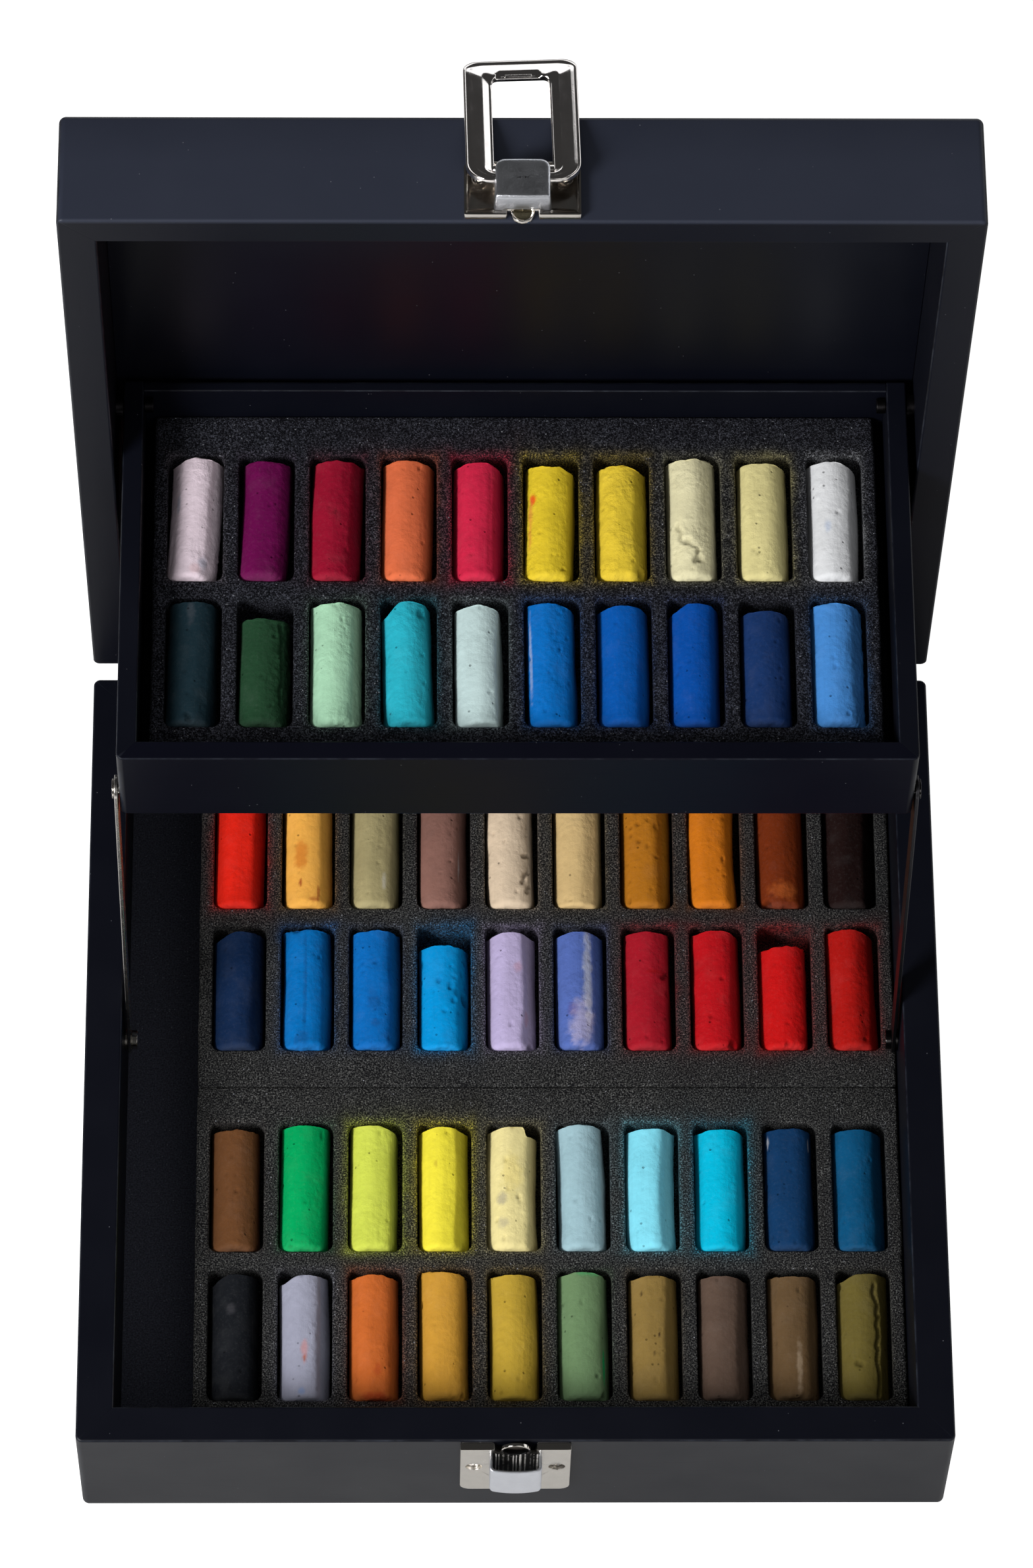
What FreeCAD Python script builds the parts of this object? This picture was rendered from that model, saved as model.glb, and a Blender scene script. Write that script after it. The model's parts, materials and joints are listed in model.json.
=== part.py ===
import FreeCAD, Part
import math
import os
import Sketcher

# A small pastel case: a wooden base and a hinged lid, with a tray that two nickel arms lift out of
# the base as the lid opens. Millimetres, +Z up, +Y to the rear. The origin is the centre of the
# base's underside. The model stands with its lid open.

DIMENSIONS = (
    ("box_width", 230.0, "outer width of base and lid"),
    ("box_depth", 225.0, "outer depth of base and lid"),
    ("base_height", 46.0, "height of the base walls"),
    ("lid_height", 31.4, "height of the lid, rim to top"),
    ("wall", 9.8, "thickness of the base and lid boards"),
    ("seam", 0.3, "gap between the two rims when closed"),
    ("base_panel", 4.5, "thickness of the base's bottom panel"),
    ("lid_panel", 4.0, "thickness of the lid's top panel"),
    ("base_round", 1.5, "rounding of the base's lower outer edge"),
    ("lid_round", 3.5, "rounding of the lid's upper outer edge"),
    ("liner", 1.0, "thickness of the floor liner"),
    ("hinge_setback", 2.8, "hinge axis behind the rear face"),
    ("open_angle", 91.0, "how far the open lid stands from closed"),
    ("link_length", 109.3, "hinge axis to tray pivot, and arm pivot to arm pivot"),
    ("link_angle", 78.3, "slope of that line above +Y with the lid open"),
    ("pivot_run", 103.0, "tray pivot behind the arm pivot"),
    ("pivot_drop", 20.5, "arm pivot below the tray pivot"),
    ("tray_gap", 2.2, "gap between tray and lid side wall"),
    ("tray_depth", 112.2, "outer depth of the tray"),
    ("tray_height", 32.0, "outer height of the tray"),
    ("tray_wall", 5.2, "thickness of the tray's front and side boards"),
    ("tray_rear_wall", 3.2, "thickness of the tray's rear board"),
    ("tray_floor", 3.5, "thickness of the tray's floor"),
    ("tray_rear_reach", 5.4, "tray's rear face behind its pivot"),
    ("tray_top_reach", 3.6, "tray's rim above its pivot"),
    ("tray_round", 2.0, "rounding of the tray's outer edges"),
    ("foam_width", 191.0, "width of a foam insert"),
    ("foam_depth", 102.4, "depth of a foam insert"),
    ("foam_thickness", 16.0, "thickness of a foam insert"),
    ("pocket_width", 15.0, "width of a stick pocket"),
    ("pocket_length", 38.0, "length of a stick pocket"),
    ("pocket_depth", 11.0, "depth of a stick pocket"),
    ("pocket_round", 2.5, "corner radius of a stick pocket"),
    ("pocket_pitch", 18.7, "pocket to pocket along a row"),
    ("row_pitch", 43.0, "row to row"),
    ("pockets_per_row", 10, "pockets in a row"),
    ("stick_radius", 6.4, "radius of a pastel stick"),
    ("stick_length", 35.6, "length of a pastel stick"),
    ("short_stick_length", 31.5, "length of a worn pastel stick"),
    ("stick_edge", 0.8, "worn edge of a pastel stick"),
    ("arm_thickness", 0.9, "thickness of a lifting arm"),
    ("arm_half_width", 3.6, "half the width of a lifting arm"),
    ("arm_inset", 0.9, "gap between arm and base wall"),
    ("screw_radius", 1.5, "shank radius of the pivot screws"),
    ("pivot_clearance", 0.05, "radial clearance of a running pivot"),
    ("open_clearance", 0.3, "radial clearance of the arm on the tray's screw"),
    ("screw_bite", 6.0, "length of a screw in a base or lid board"),
    ("tray_screw_bite", 4.2, "length of a screw in a tray board"),
    ("hinge_offset", 70.0, "middle of each hinge from the centre line"),
    ("hinge_width", 24.0, "width of a hinge"),
    ("leaf_height", 12.0, "height of a hinge leaf"),
    ("leaf_thickness", 0.9, "thickness of a hinge leaf"),
    ("knuckle_radius", 2.2, "outer radius of a hinge knuckle"),
    ("knuckle_play", 0.1, "end play of a hinge knuckle on each side"),
    ("pin_radius", 1.0, "radius of hinge pins, latch rod and small screws"),
    ("latch_half_width", 14.5, "half the width of the latch plates"),
    ("latch_plate", 2.1, "how far the latch plates stand out"),
    ("latch_reach", 7.1, "how far keeper and cover stand out"),
    ("keeper_plate_top", 45.0, "top of the base's latch plate"),
    ("keeper_plate_bottom", 16.7, "bottom of the base's latch plate"),
    ("keeper_top", 42.8, "top of the keeper"),
    ("keeper_bottom", 26.0, "bottom of the keeper"),
    ("keeper_half_width", 6.85, "half the width of keeper and cover"),
    ("latch_skin", 0.9, "sheet thickness of keeper and cover"),
    ("stud_radius", 3.9, "radius of the locating stud"),
    ("stud_centre", 44.5, "height of the locating stud"),
    ("cover_length", 11.7, "length of the loop's cover"),
    ("loop_axis_rise", 12.0, "loop axis above the lid's rim"),
    ("loop_axis_reach", 5.0, "loop axis in front of the lid's front face"),
    ("loop_half_width", 14.2, "half the width of the hasp loop"),
    ("loop_window_half", 7.2, "half the width of the loop's window"),
    ("loop_window_end", 32.7, "loop axis to the window's far edge"),
    ("loop_end", 39.6, "loop axis to the loop's far edge"),
    ("loop_heel", 1.4, "loop's near edge behind its axis"),
    ("loop_thickness", 2.2, "thickness of the loop"),
    ("loop_far_round", 4.0, "rounding of the loop's far corners"),
    ("loop_near_round", 2.4, "rounding of the loop's near corners"),
    ("loop_tilt", 12.9, "lean of the resting loop towards the lid"),
    ("latch_screw_offset", 10.9, "latch screws from the centre line"),
)

doc = FreeCAD.newDocument("pastel_case")
sheet = doc.addObject("Spreadsheet::Sheet", "dims")
nodes = {}


def fill_sheet():
    for row, (alias, size, meaning) in enumerate(DIMENSIONS, start=1):
        sheet.set(f"A{row}", meaning)
        sheet.set(f"B{row}", str(size))
        sheet.setAlias(f"B{row}", alias)
    doc.recompute()


fill_sheet()

# Distances that several pieces share, as expressions in the sheet's values. OVERSHOOT is how far a
# cutter passes the face it opens, TOLERANCE how close two places count as the same.
HALF_WIDTH = "dims.box_width / 2"
HALF_DEPTH = "dims.box_depth / 2"
INNER_WIDTH = "(dims.box_width / 2 - dims.wall)"
INNER_DEPTH = "(dims.box_depth / 2 - dims.wall)"
HINGE_Y = "(dims.box_depth / 2 + dims.hinge_setback)"
HINGE_Z = "(dims.base_height + dims.seam / 2)"
LID_BOTTOM = "(dims.base_height + dims.seam)"
LID_TOP = "(dims.base_height + dims.seam + dims.lid_height)"
LINER_TOP = "(dims.base_panel + dims.liner)"
LOOP_Z = f"({LID_BOTTOM} + dims.loop_axis_rise)"
TRAY_HALF = f"({INNER_WIDTH} - dims.tray_gap)"
TRAY_INNER = f"({TRAY_HALF} - dims.tray_wall)"
TRAY_REAR = "dims.tray_rear_reach"
TRAY_FRONT = "(dims.tray_rear_reach - dims.tray_depth)"
TRAY_TOP = "dims.tray_top_reach"
TRAY_BOTTOM = "(dims.tray_top_reach - dims.tray_height)"
ARM_OUTER = f"({INNER_WIDTH} - dims.arm_inset)"
ARM_INNER = f"({ARM_OUTER} - dims.arm_thickness)"
BITE_END = f"({INNER_WIDTH} + dims.screw_bite)"
TRAY_ARM_PIVOT = ("-dims.pivot_run", "-dims.pivot_drop")
TRAY_SCREW_END = f"({TRAY_HALF} - dims.tray_screw_bite)"
SIDES = {"left": -1, "right": 1}
ROW_SIGNS = {"front": -1, "rear": 1}
OVERSHOOT = 1.0
TOLERANCE = 0.05


def value(expression):
    """The number that an expression in the sheet's values stands for."""
    result = sheet.evalExpression(str(expression))
    return float(getattr(result, "Value", result))


def signed(sign, expression):
    """The expression, or its mirror image across the centre line."""
    return f"({sign}) * ({expression})"


def front(reach):
    """The Y of a point that stands out by reach from the front face."""
    return f"-({HALF_DEPTH}) - ({reach})"


# Placements of the moving groups in the open pose.
HINGE_AXIS = FreeCAD.Vector(0, value(HINGE_Y), value(HINGE_Z))
X_AXIS = FreeCAD.Vector(1, 0, 0)


def turn_about(point, angle):
    """A turn about an X-wise axis through a point."""
    rotation = FreeCAD.Rotation(X_AXIS, angle)
    return FreeCAD.Placement(FreeCAD.Vector(), rotation, point)


LINK = FreeCAD.Vector(0, value("dims.link_length * cos(dims.link_angle * 1 deg)"),
                      value("dims.link_length * sin(dims.link_angle * 1 deg)"))
PIVOT_OFFSET = FreeCAD.Vector(0, value("dims.pivot_run"), value("dims.pivot_drop"))
TRAY_PIVOT = HINGE_AXIS + LINK
ARM_BASE_PIVOT = HINGE_AXIS - PIVOT_OFFSET
LID_OPEN = turn_about(HINGE_AXIS, -value("dims.open_angle"))
TRAY_RAISED = FreeCAD.Placement(TRAY_PIVOT, FreeCAD.Rotation())
ARM_RAISED = FreeCAD.Placement(ARM_BASE_PIVOT, FreeCAD.Rotation(X_AXIS, value("dims.link_angle")))
LOOP_AXIS = FreeCAD.Vector(0, value(front("dims.loop_axis_reach")), value(LOOP_Z))
LOOP_RESTING = LID_OPEN.multiply(FreeCAD.Placement(
    LOOP_AXIS, FreeCAD.Rotation(X_AXIS, -value("dims.loop_tilt"))))
CLOSED_TRAY_PIVOT = LID_OPEN.inverse().multVec(TRAY_PIVOT)
TRAY_PIVOT_Y = CLOSED_TRAY_PIVOT.y
TRAY_PIVOT_Z = CLOSED_TRAY_PIVOT.z


# ---------------------------------------------------------------- building blocks

def box(name, low, high):
    """A block between two corners, each given as three expressions."""
    block = doc.addObject("Part::Box", name)
    for axis, size, start, end in zip("xyz", ("Length", "Width", "Height"), low, high):
        block.setExpression(size, f"({end}) - ({start})")
        block.setExpression(f"Placement.Base.{axis}", str(start))
    return block


AXIS_TURNS = {
    "x": FreeCAD.Rotation(FreeCAD.Vector(0, 1, 0), 90),
    "y": FreeCAD.Rotation(FreeCAD.Vector(1, 0, 0), -90),
    "z": FreeCAD.Rotation(),
}


def rod(name, axis, centre, radius, start, end):
    """A cylinder along an axis from start to end; centre holds its other two coordinates."""
    bar = doc.addObject("Part::Cylinder", name)
    bar.Placement = FreeCAD.Placement(FreeCAD.Vector(), AXIS_TURNS[axis])
    bar.setExpression("Radius", str(radius))
    bar.setExpression("Height", f"({end}) - ({start})")
    others = [letter for letter in "xyz" if letter != axis]
    bar.setExpression(f"Placement.Base.{axis}", str(start))
    for letter, place in zip(others, centre):
        bar.setExpression(f"Placement.Base.{letter}", str(place))
    return bar


def mirrored_rod(name, side, centre, radius, start, end):
    """A cylinder along X between two distances from the middle, on the left or the right."""
    if side == "left":
        start, end = f"-({end})", f"-({start})"
    return rod(name, "x", centre, radius, start, end)


def fuse(name, pieces):
    """The pieces as one solid."""
    joined = doc.addObject("Part::MultiFuse", name)
    joined.Shapes = pieces
    return joined


def cut(name, stock, tools):
    """The stock without the tools."""
    tool = doc.addObject("Part::Compound", f"{name}_cutters")
    tool.Links = tools
    result = doc.addObject("Part::Cut", name)
    result.Base = stock
    result.Tool = tool
    return result


def edges_where(shape, test):
    """The numbers of the edges whose middle passes a test."""
    middles = [edge.valueAt((edge.FirstParameter + edge.LastParameter) / 2) for edge in shape.Edges]
    return [number for number, middle in enumerate(middles, start=1) if test(middle)]


def rounded(name, stock, radius, test):
    """The stock with the edges that pass a test rounded."""
    doc.recompute()
    fillet = doc.addObject("Part::Fillet", name)
    fillet.Base = stock
    size = value(radius)
    fillet.Edges = [(number, size, size) for number in edges_where(stock.Shape, test)]
    return fillet


def near(place, target):
    """Whether a place is at the expression's value."""
    return abs(place - value(target)) < TOLERANCE


def finish(label, pieces, placement=None):
    """Register a node made of one or more pieces, in its place."""
    node = doc.addObject("Part::Compound", label)
    node.Links = pieces if isinstance(pieces, list) else [pieces]
    node.Label = label
    if placement is not None:
        node.Placement = placement
    nodes[label] = node
    return node


def new_body(label, placement=None):
    """An empty body with its label and place."""
    body = doc.addObject("PartDesign::Body", label)
    body.Label = label
    if placement is not None:
        body.Placement = placement
    return body


def sketch_on(body, name, role, offset):
    """A sketch parallel to one of the body's origin planes."""
    plane = next(item for item in body.Origin.OriginFeatures if item.Role == role)
    sketch = body.newObject("Sketcher::SketchObject", name)
    sketch.AttachmentSupport = [(plane, "")]
    sketch.MapMode = "FlatFace"
    sketch.setExpression("AttachmentOffset.Base.z", str(offset))
    return sketch


def pin_point(sketch, geometry, end, corner):
    """Hold one end of a sketch line at a place given by two expressions."""
    for kind, place in zip(("DistanceX", "DistanceY"), corner):
        number = sketch.addConstraint(
            Sketcher.Constraint(kind, -1, 1, geometry, end, value(place)))
        sketch.setExpression(f"Constraints[{number}]", str(place))


def polygon(sketch, corners):
    """A closed outline of straight lines through the corners."""
    points = [FreeCAD.Vector(value(x), value(y), 0) for x, y in corners]
    first = sketch.GeometryCount
    count = len(points)
    for index, point in enumerate(points):
        sketch.addGeometry(Part.LineSegment(point, points[(index + 1) % count]))
    for index in range(count):
        following = first + (index + 1) % count
        sketch.addConstraint(Sketcher.Constraint("Coincident", first + index, 2, following, 1))
        pin_point(sketch, first + index, 1, corners[index])


def circle(sketch, centre, radius):
    """A circle whose centre and radius are expressions."""
    middle = FreeCAD.Vector(value(centre[0]), value(centre[1]), 0)
    number = sketch.addGeometry(Part.Circle(middle, FreeCAD.Vector(0, 0, 1), value(radius)))
    pin_point(sketch, number, 3, centre)
    constraint = sketch.addConstraint(Sketcher.Constraint("Radius", number, value(radius)))
    sketch.setExpression(f"Constraints[{constraint}]", str(radius))


CORNER_SIGNS = ((1, -1), (1, 1), (-1, 1), (-1, -1))


def rounded_rectangle(sketch, centre, size, radius):
    """A rectangle with round corners, from four arcs joined by four tangent lines."""
    corner = value(radius)
    middles = [tuple(f"({place}) + ({sign}) * (({length}) / 2 - {radius})"
                     for place, sign, length in zip(centre, signs, size)) for signs in CORNER_SIGNS]
    points = [FreeCAD.Vector(value(x), value(y), 0) for x, y in middles]
    first = sketch.GeometryCount
    for step, point in enumerate(points):
        begin = math.radians(90 * step - 90)
        finish_angle = math.radians(90 * step)
        whole = Part.Circle(point, FreeCAD.Vector(0, 0, 1), corner)
        sketch.addGeometry(Part.ArcOfCircle(whole, begin, finish_angle))
        reach = FreeCAD.Vector(math.cos(finish_angle), math.sin(finish_angle), 0) * corner
        sketch.addGeometry(Part.LineSegment(point + reach, points[(step + 1) % 4] + reach))
    for step in range(4):
        arc, line = first + 2 * step, first + 2 * step + 1
        next_arc = first + 2 * ((step + 1) % 4)
        sketch.addConstraint(Sketcher.Constraint("Tangent", arc, 2, line, 1))
        sketch.addConstraint(Sketcher.Constraint("Tangent", line, 2, next_arc, 1))
        pin_point(sketch, arc, 3, middles[step])
        number = sketch.addConstraint(Sketcher.Constraint("Radius", arc, corner))
        sketch.setExpression(f"Constraints[{number}]", radius)


def pad(body, name, sketch, length):
    """Material from the sketch, along its normal."""
    solid = body.newObject("PartDesign::Pad", name)
    solid.Profile = sketch
    solid.setExpression("Length", str(length))
    doc.recompute()
    return solid


def pocket(body, name, sketch, length):
    """A hollow from the sketch, along its normal; it must take material away."""
    before = body.Shape.Volume
    hollow = body.newObject("PartDesign::Pocket", name)
    hollow.Profile = sketch
    hollow.Reversed = True
    hollow.setExpression("Length", str(length))
    doc.recompute()
    if body.Shape.Volume > before - TOLERANCE:
        raise RuntimeError(f"{name} cuts nothing")
    return hollow


def fillet(body, name, feature, radius, test):
    """Round the edges of the body's last feature that pass a test."""
    edge_names = [f"Edge{number}" for number in edges_where(feature.Shape, test)]
    if not edge_names:
        raise RuntimeError(f"{name} finds no edge")
    rounding = body.newObject("PartDesign::Fillet", name)
    rounding.Base = (feature, edge_names)
    rounding.setExpression("Radius", str(radius))
    doc.recompute()
    return rounding


# ---------------------------------------------------------------- wooden boards

OUTER_CORNER = (HALF_WIDTH, HALF_DEPTH)
INNER_CORNER = (INNER_WIDTH, INNER_DEPTH)
BOARD_ENDS = {
    "front": ((-1, -1), (1, -1)),
    "rear": ((1, 1), (-1, 1)),
    "left": ((-1, 1), (-1, -1)),
    "right": ((1, -1), (1, 1)),
}


def board_outline(side):
    """The mitred board's corners: along its outer face, then back along its inner face."""
    start, end = BOARD_ENDS[side]
    corners = ((start, OUTER_CORNER), (end, OUTER_CORNER), (end, INNER_CORNER), (start, INNER_CORNER))
    return [(signed(signs[0], corner[0]), signed(signs[1], corner[1])) for signs, corner in corners]


def mitred_board(name, side, bottom, top, rounded_edge, radius):
    """One wall of a mitred frame, with its outer edge rounded at the given height."""
    body = new_body(name)
    outline = sketch_on(body, f"{name}_outline", "XY_Plane", bottom)
    polygon(outline, board_outline(side))
    board = pad(body, f"{name}_pad", outline, f"({top}) - ({bottom})")

    def outer_edge(middle):
        if side in ("front", "rear"):
            return near(middle.z, rounded_edge) and near(abs(middle.y), HALF_DEPTH)
        return near(middle.z, rounded_edge) and near(abs(middle.x), HALF_WIDTH)

    fillet(body, f"{name}_rounding", board, radius, outer_edge)
    return body


LEAF_SCREW_SPREAD = 7.0
LEAF_SCREW_DROP = 7.8
SMALL_HEAD_RADIUS = 1.9
SMALL_HEAD_HEIGHT = 0.6
LATCH_HEAD_RADIUS = 2.0
LATCH_HOLE_RADIUS = 2.1
LATCH_HEAD_RECESS = 0.5
KEEPER_SCREW_Z = 32.8
LID_SCREW_RISE = 11.9
LID_LATCH_SCREW_Z = f"({LID_BOTTOM} + {LID_SCREW_RISE})"


def hinge_screw_places(level):
    """X and Z of the leaf screws of both hinges."""
    return [(f"({sign}) * dims.hinge_offset + ({step})", level)
            for sign in SIDES.values() for step in (-LEAF_SCREW_SPREAD, LEAF_SCREW_SPREAD)]


def latch_screw_places(level):
    """X and Z of the two screws of a latch plate."""
    return [(f"({sign}) * dims.latch_screw_offset", level) for sign in SIDES.values()]


def pilots(name, places, start, end):
    """The holes that a row of small screws fills, along Y."""
    return [rod(f"{name}_pilot_{i}", "y", place, "dims.pin_radius", start, end)
            for i, place in enumerate(places)]


def wall_holes(name, side, latch_level, hinge_level, pivot):
    """Screw holes of a wall: the latch in front, the hinges behind, one pivot at each side."""
    if side == "front":
        return pilots(name, latch_screw_places(latch_level), front("0"), f"{front('0')} + dims.screw_bite")
    if side == "rear":
        return pilots(name, hinge_screw_places(hinge_level), f"{HALF_DEPTH} - dims.screw_bite", HALF_DEPTH)
    return [mirrored_rod(f"{name}_pivot_hole", side, pivot, "dims.screw_radius", INNER_WIDTH, BITE_END)]


def base_boards():
    """The base's mitred walls, its bottom panel and the liner that the inserts lie on."""
    for side in BOARD_ENDS:
        name = f"base_{side}_wall"
        board = mitred_board(f"{name}_board", side, "0", "dims.base_height", "0", "dims.base_round")
        holes = wall_holes(name, side, KEEPER_SCREW_Z, f"({HINGE_Z} - {LEAF_SCREW_DROP})",
                           (ARM_BASE_PIVOT.y, ARM_BASE_PIVOT.z))
        finish(name, cut(f"{name}_bored", board, holes))
    low, high = (f"-{INNER_WIDTH}", f"-{INNER_DEPTH}"), (INNER_WIDTH, INNER_DEPTH)
    finish("base_bottom_panel", box("bottom_panel", (*low, "0"), (*high, "dims.base_panel")))
    finish("floor_liner", box("liner_sheet", (*low, "dims.base_panel"), (*high, LINER_TOP)))


def lid_boards():
    """The lid's mitred walls and its top panel."""
    for side in BOARD_ENDS:
        name = f"lid_{side}_wall"
        board = mitred_board(f"{name}_board", side, LID_BOTTOM, LID_TOP, LID_TOP, "dims.lid_round")
        holes = wall_holes(name, side, LID_LATCH_SCREW_Z, f"({HINGE_Z} + {LEAF_SCREW_DROP})",
                           (TRAY_PIVOT_Y, TRAY_PIVOT_Z))
        finish(name, cut(f"{name}_bored", board, holes), LID_OPEN)
    panel = box("top_panel", (f"-{INNER_WIDTH}", f"-{INNER_DEPTH}", f"{LID_TOP} - dims.lid_panel"),
                (INNER_WIDTH, INNER_DEPTH, LID_TOP))
    finish("lid_top_panel", panel, LID_OPEN)


# ---------------------------------------------------------------- foam inserts and sticks

def foam_insert(label, placement):
    """A foam slab with two rows of round-cornered pockets; its origin is under its middle."""
    body = new_body(label, placement)
    plan = sketch_on(body, f"{label}_plan", "XY_Plane", "0")
    half_x, half_y = "dims.foam_width / 2", "dims.foam_depth / 2"
    polygon(plan, [(signed(sx, half_x), signed(sy, half_y)) for sx, sy in CORNER_SIGNS])
    pad(body, f"{label}_slab", plan, "dims.foam_thickness")
    mouth = sketch_on(body, f"{label}_pocket_plan", "XY_Plane", "dims.foam_thickness - dims.pocket_depth")
    first_x = "-dims.pocket_pitch * (dims.pockets_per_row - 1) / 2"
    for sign in ROW_SIGNS.values():
        rounded_rectangle(mouth, (first_x, f"({sign}) * dims.row_pitch / 2"),
                          ("dims.pocket_width", "dims.pocket_length"), "dims.pocket_round")
    hollow = pocket(body, f"{label}_pocket", mouth, "dims.pocket_depth")
    row = body.newObject("PartDesign::LinearPattern", f"{label}_row")
    row.Originals = [hollow]
    row.Direction = (mouth, ["H_Axis"])
    row.setExpression("Length", "dims.pocket_pitch * (dims.pockets_per_row - 1)")
    row.setExpression("Occurrences", "dims.pockets_per_row")
    body.Tip = row
    doc.recompute()
    nodes[label] = body


# Places along a row, counted from the left, whose stick is worn short.
WORN_STICKS = {"tray_front_sticks": (2, 9), "rear_insert_front_sticks": (4, 9)}


def stick_row(label, placement, sign):
    """A row of pastel sticks lying in an insert's pockets, one solid each."""
    level = "(dims.foam_thickness - dims.pocket_depth + dims.stick_radius)"
    sticks = []
    for place in range(1, int(value("dims.pockets_per_row")) + 1):
        worn = place in WORN_STICKS.get(label, ())
        half = "dims.short_stick_length / 2" if worn else "dims.stick_length / 2"
        centre_x = f"dims.pocket_pitch * ({place} - (dims.pockets_per_row + 1) / 2)"
        centre_y = f"({sign}) * dims.row_pitch / 2"
        stick = rod(f"{label}_{place}_blank", "y", (centre_x, level), "dims.stick_radius",
                    f"{centre_y} - {half}", f"{centre_y} + {half}")
        sticks.append(rounded(f"{label}_{place}", stick, "dims.stick_edge", lambda middle: True))
    finish(label, sticks, placement)


def inserts():
    """The three inserts and their sticks: two on the base's liner, one on the tray's floor."""
    base_x = value(f"{INNER_WIDTH} - dims.foam_width / 2")
    base_y = value(f"{INNER_DEPTH} - dims.foam_depth / 2")
    depth = value("dims.foam_depth")
    places = {
        "rear_insert": FreeCAD.Vector(base_x, base_y, value(LINER_TOP)),
        "front_insert": FreeCAD.Vector(base_x, base_y - depth, value(LINER_TOP)),
        "tray": TRAY_PIVOT + FreeCAD.Vector(0, value(TRAY_FRONT) + value("dims.tray_wall") + depth / 2,
                                            value(TRAY_BOTTOM) + value("dims.tray_floor")),
    }
    labels = {"rear_insert": "rear_foam_insert", "front_insert": "front_foam_insert",
              "tray": "tray_foam_insert"}
    for key, point in places.items():
        placement = FreeCAD.Placement(point, FreeCAD.Rotation())
        foam_insert(labels[key], placement)
        for row, sign in ROW_SIGNS.items():
            stick_row(f"{key}_{row}_sticks", placement, sign)


# ---------------------------------------------------------------- tray

def tray_edge(middle):
    """The tray's rounded edges: under its front and along its rear, above and below."""
    front_foot = near(middle.y, TRAY_FRONT) and near(middle.z, TRAY_BOTTOM)
    rear_edge = near(middle.y, TRAY_REAR) and (near(middle.z, TRAY_TOP) or near(middle.z, TRAY_BOTTOM))
    return front_foot or rear_edge


def tray_boards():
    """Full-depth side boards, front and rear boards between them, and the floor."""
    inner_front = f"({TRAY_FRONT} + dims.tray_wall)"
    inner_rear = f"({TRAY_REAR} - dims.tray_rear_wall)"
    for end, near_y, far_y in (("front", TRAY_FRONT, inner_front), ("rear", inner_rear, TRAY_REAR)):
        blank = box(f"tray_{end}_blank", (f"-{TRAY_INNER}", near_y, TRAY_BOTTOM),
                    (TRAY_INNER, far_y, TRAY_TOP))
        finish(f"tray_{end}_wall", rounded(f"tray_{end}_board", blank, "dims.tray_round", tray_edge),
               TRAY_RAISED)
    for side, sign in SIDES.items():
        low, high = (f"-{TRAY_HALF}", f"-{TRAY_INNER}") if sign < 0 else (TRAY_INNER, TRAY_HALF)
        blank = box(f"tray_{side}_blank", (low, TRAY_FRONT, TRAY_BOTTOM), (high, TRAY_REAR, TRAY_TOP))
        board = rounded(f"tray_{side}_board", blank, "dims.tray_round", tray_edge)
        bore = rod(f"tray_{side}_bore", "x", ("0", "0"), "dims.screw_radius + dims.pivot_clearance",
                   f"{low} - {OVERSHOOT}", f"{high} + {OVERSHOOT}")
        hole = mirrored_rod(f"tray_{side}_hole", side, TRAY_ARM_PIVOT, "dims.screw_radius",
                            TRAY_SCREW_END, TRAY_HALF)
        finish(f"tray_{side}_wall", cut(f"tray_{side}_bored", board, [bore, hole]), TRAY_RAISED)
    finish("tray_floor", box("tray_floor_board", (f"-{TRAY_INNER}", inner_front, TRAY_BOTTOM),
                             (TRAY_INNER, inner_rear, f"{TRAY_BOTTOM} + dims.tray_floor")), TRAY_RAISED)


# ---------------------------------------------------------------- pivots and arms

# ARM_PLAY and TRAY_PLAY are the running gaps beside an arm and beside the tray.
PIVOT_HEAD_RADIUS = 2.7
PIVOT_HEAD_HEIGHT = 1.5
TRAY_HEAD_RADIUS = 2.0
TRAY_HEAD_HEIGHT = 2.3
RIVET_HEAD_RADIUS = 2.6
RIVET_HEAD_HEIGHT = 0.5
WASHER_RADIUS = 3.0
ARM_PLAY = 0.1
TRAY_PLAY = 0.15


def headed_rod(name, side, centre, shank, head_radius, head):
    """A pivot screw: a shank and a head, each with its start and end along X."""
    return fuse(name, [mirrored_rod(f"{name}_shank", side, centre, "dims.screw_radius", *shank),
                       mirrored_rod(f"{name}_head", side, centre, head_radius, *head)])


def washer(name, side, centre, start, end):
    """A ring round a pivot screw's shank."""
    return cut(name, mirrored_rod(f"{name}_blank", side, centre, WASHER_RADIUS, start, end),
               [mirrored_rod(f"{name}_bore", side, centre, "dims.screw_radius", start, end)])


def arm_pivots():
    """Screws that hold the arms to the base and to the tray, and the base's washers."""
    base_place = (ARM_BASE_PIVOT.y, ARM_BASE_PIVOT.z)
    head_end = f"({ARM_INNER} - {ARM_PLAY})"
    base_screws, base_washers, tray_screws = [], [], []
    for side in SIDES:
        base_screws.append(headed_rod(
            f"base_arm_screw_{side}", side, base_place, (head_end, BITE_END), PIVOT_HEAD_RADIUS,
            (f"{head_end} - {PIVOT_HEAD_HEIGHT}", head_end)))
        base_washers.append(washer(f"base_arm_washer_{side}", side, base_place,
                                   f"{ARM_OUTER} + {ARM_PLAY}", INNER_WIDTH))
        rivet_start = f"({ARM_OUTER} + {ARM_PLAY})"
        tray_screws.append(headed_rod(
            f"tray_arm_screw_{side}", side, TRAY_ARM_PIVOT, (TRAY_SCREW_END, rivet_start),
            RIVET_HEAD_RADIUS, (rivet_start, f"{rivet_start} + {RIVET_HEAD_HEIGHT}")))
    finish("base_arm_screws", base_screws)
    finish("base_arm_washers", base_washers)
    finish("tray_arm_screws", tray_screws, TRAY_RAISED)


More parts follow.
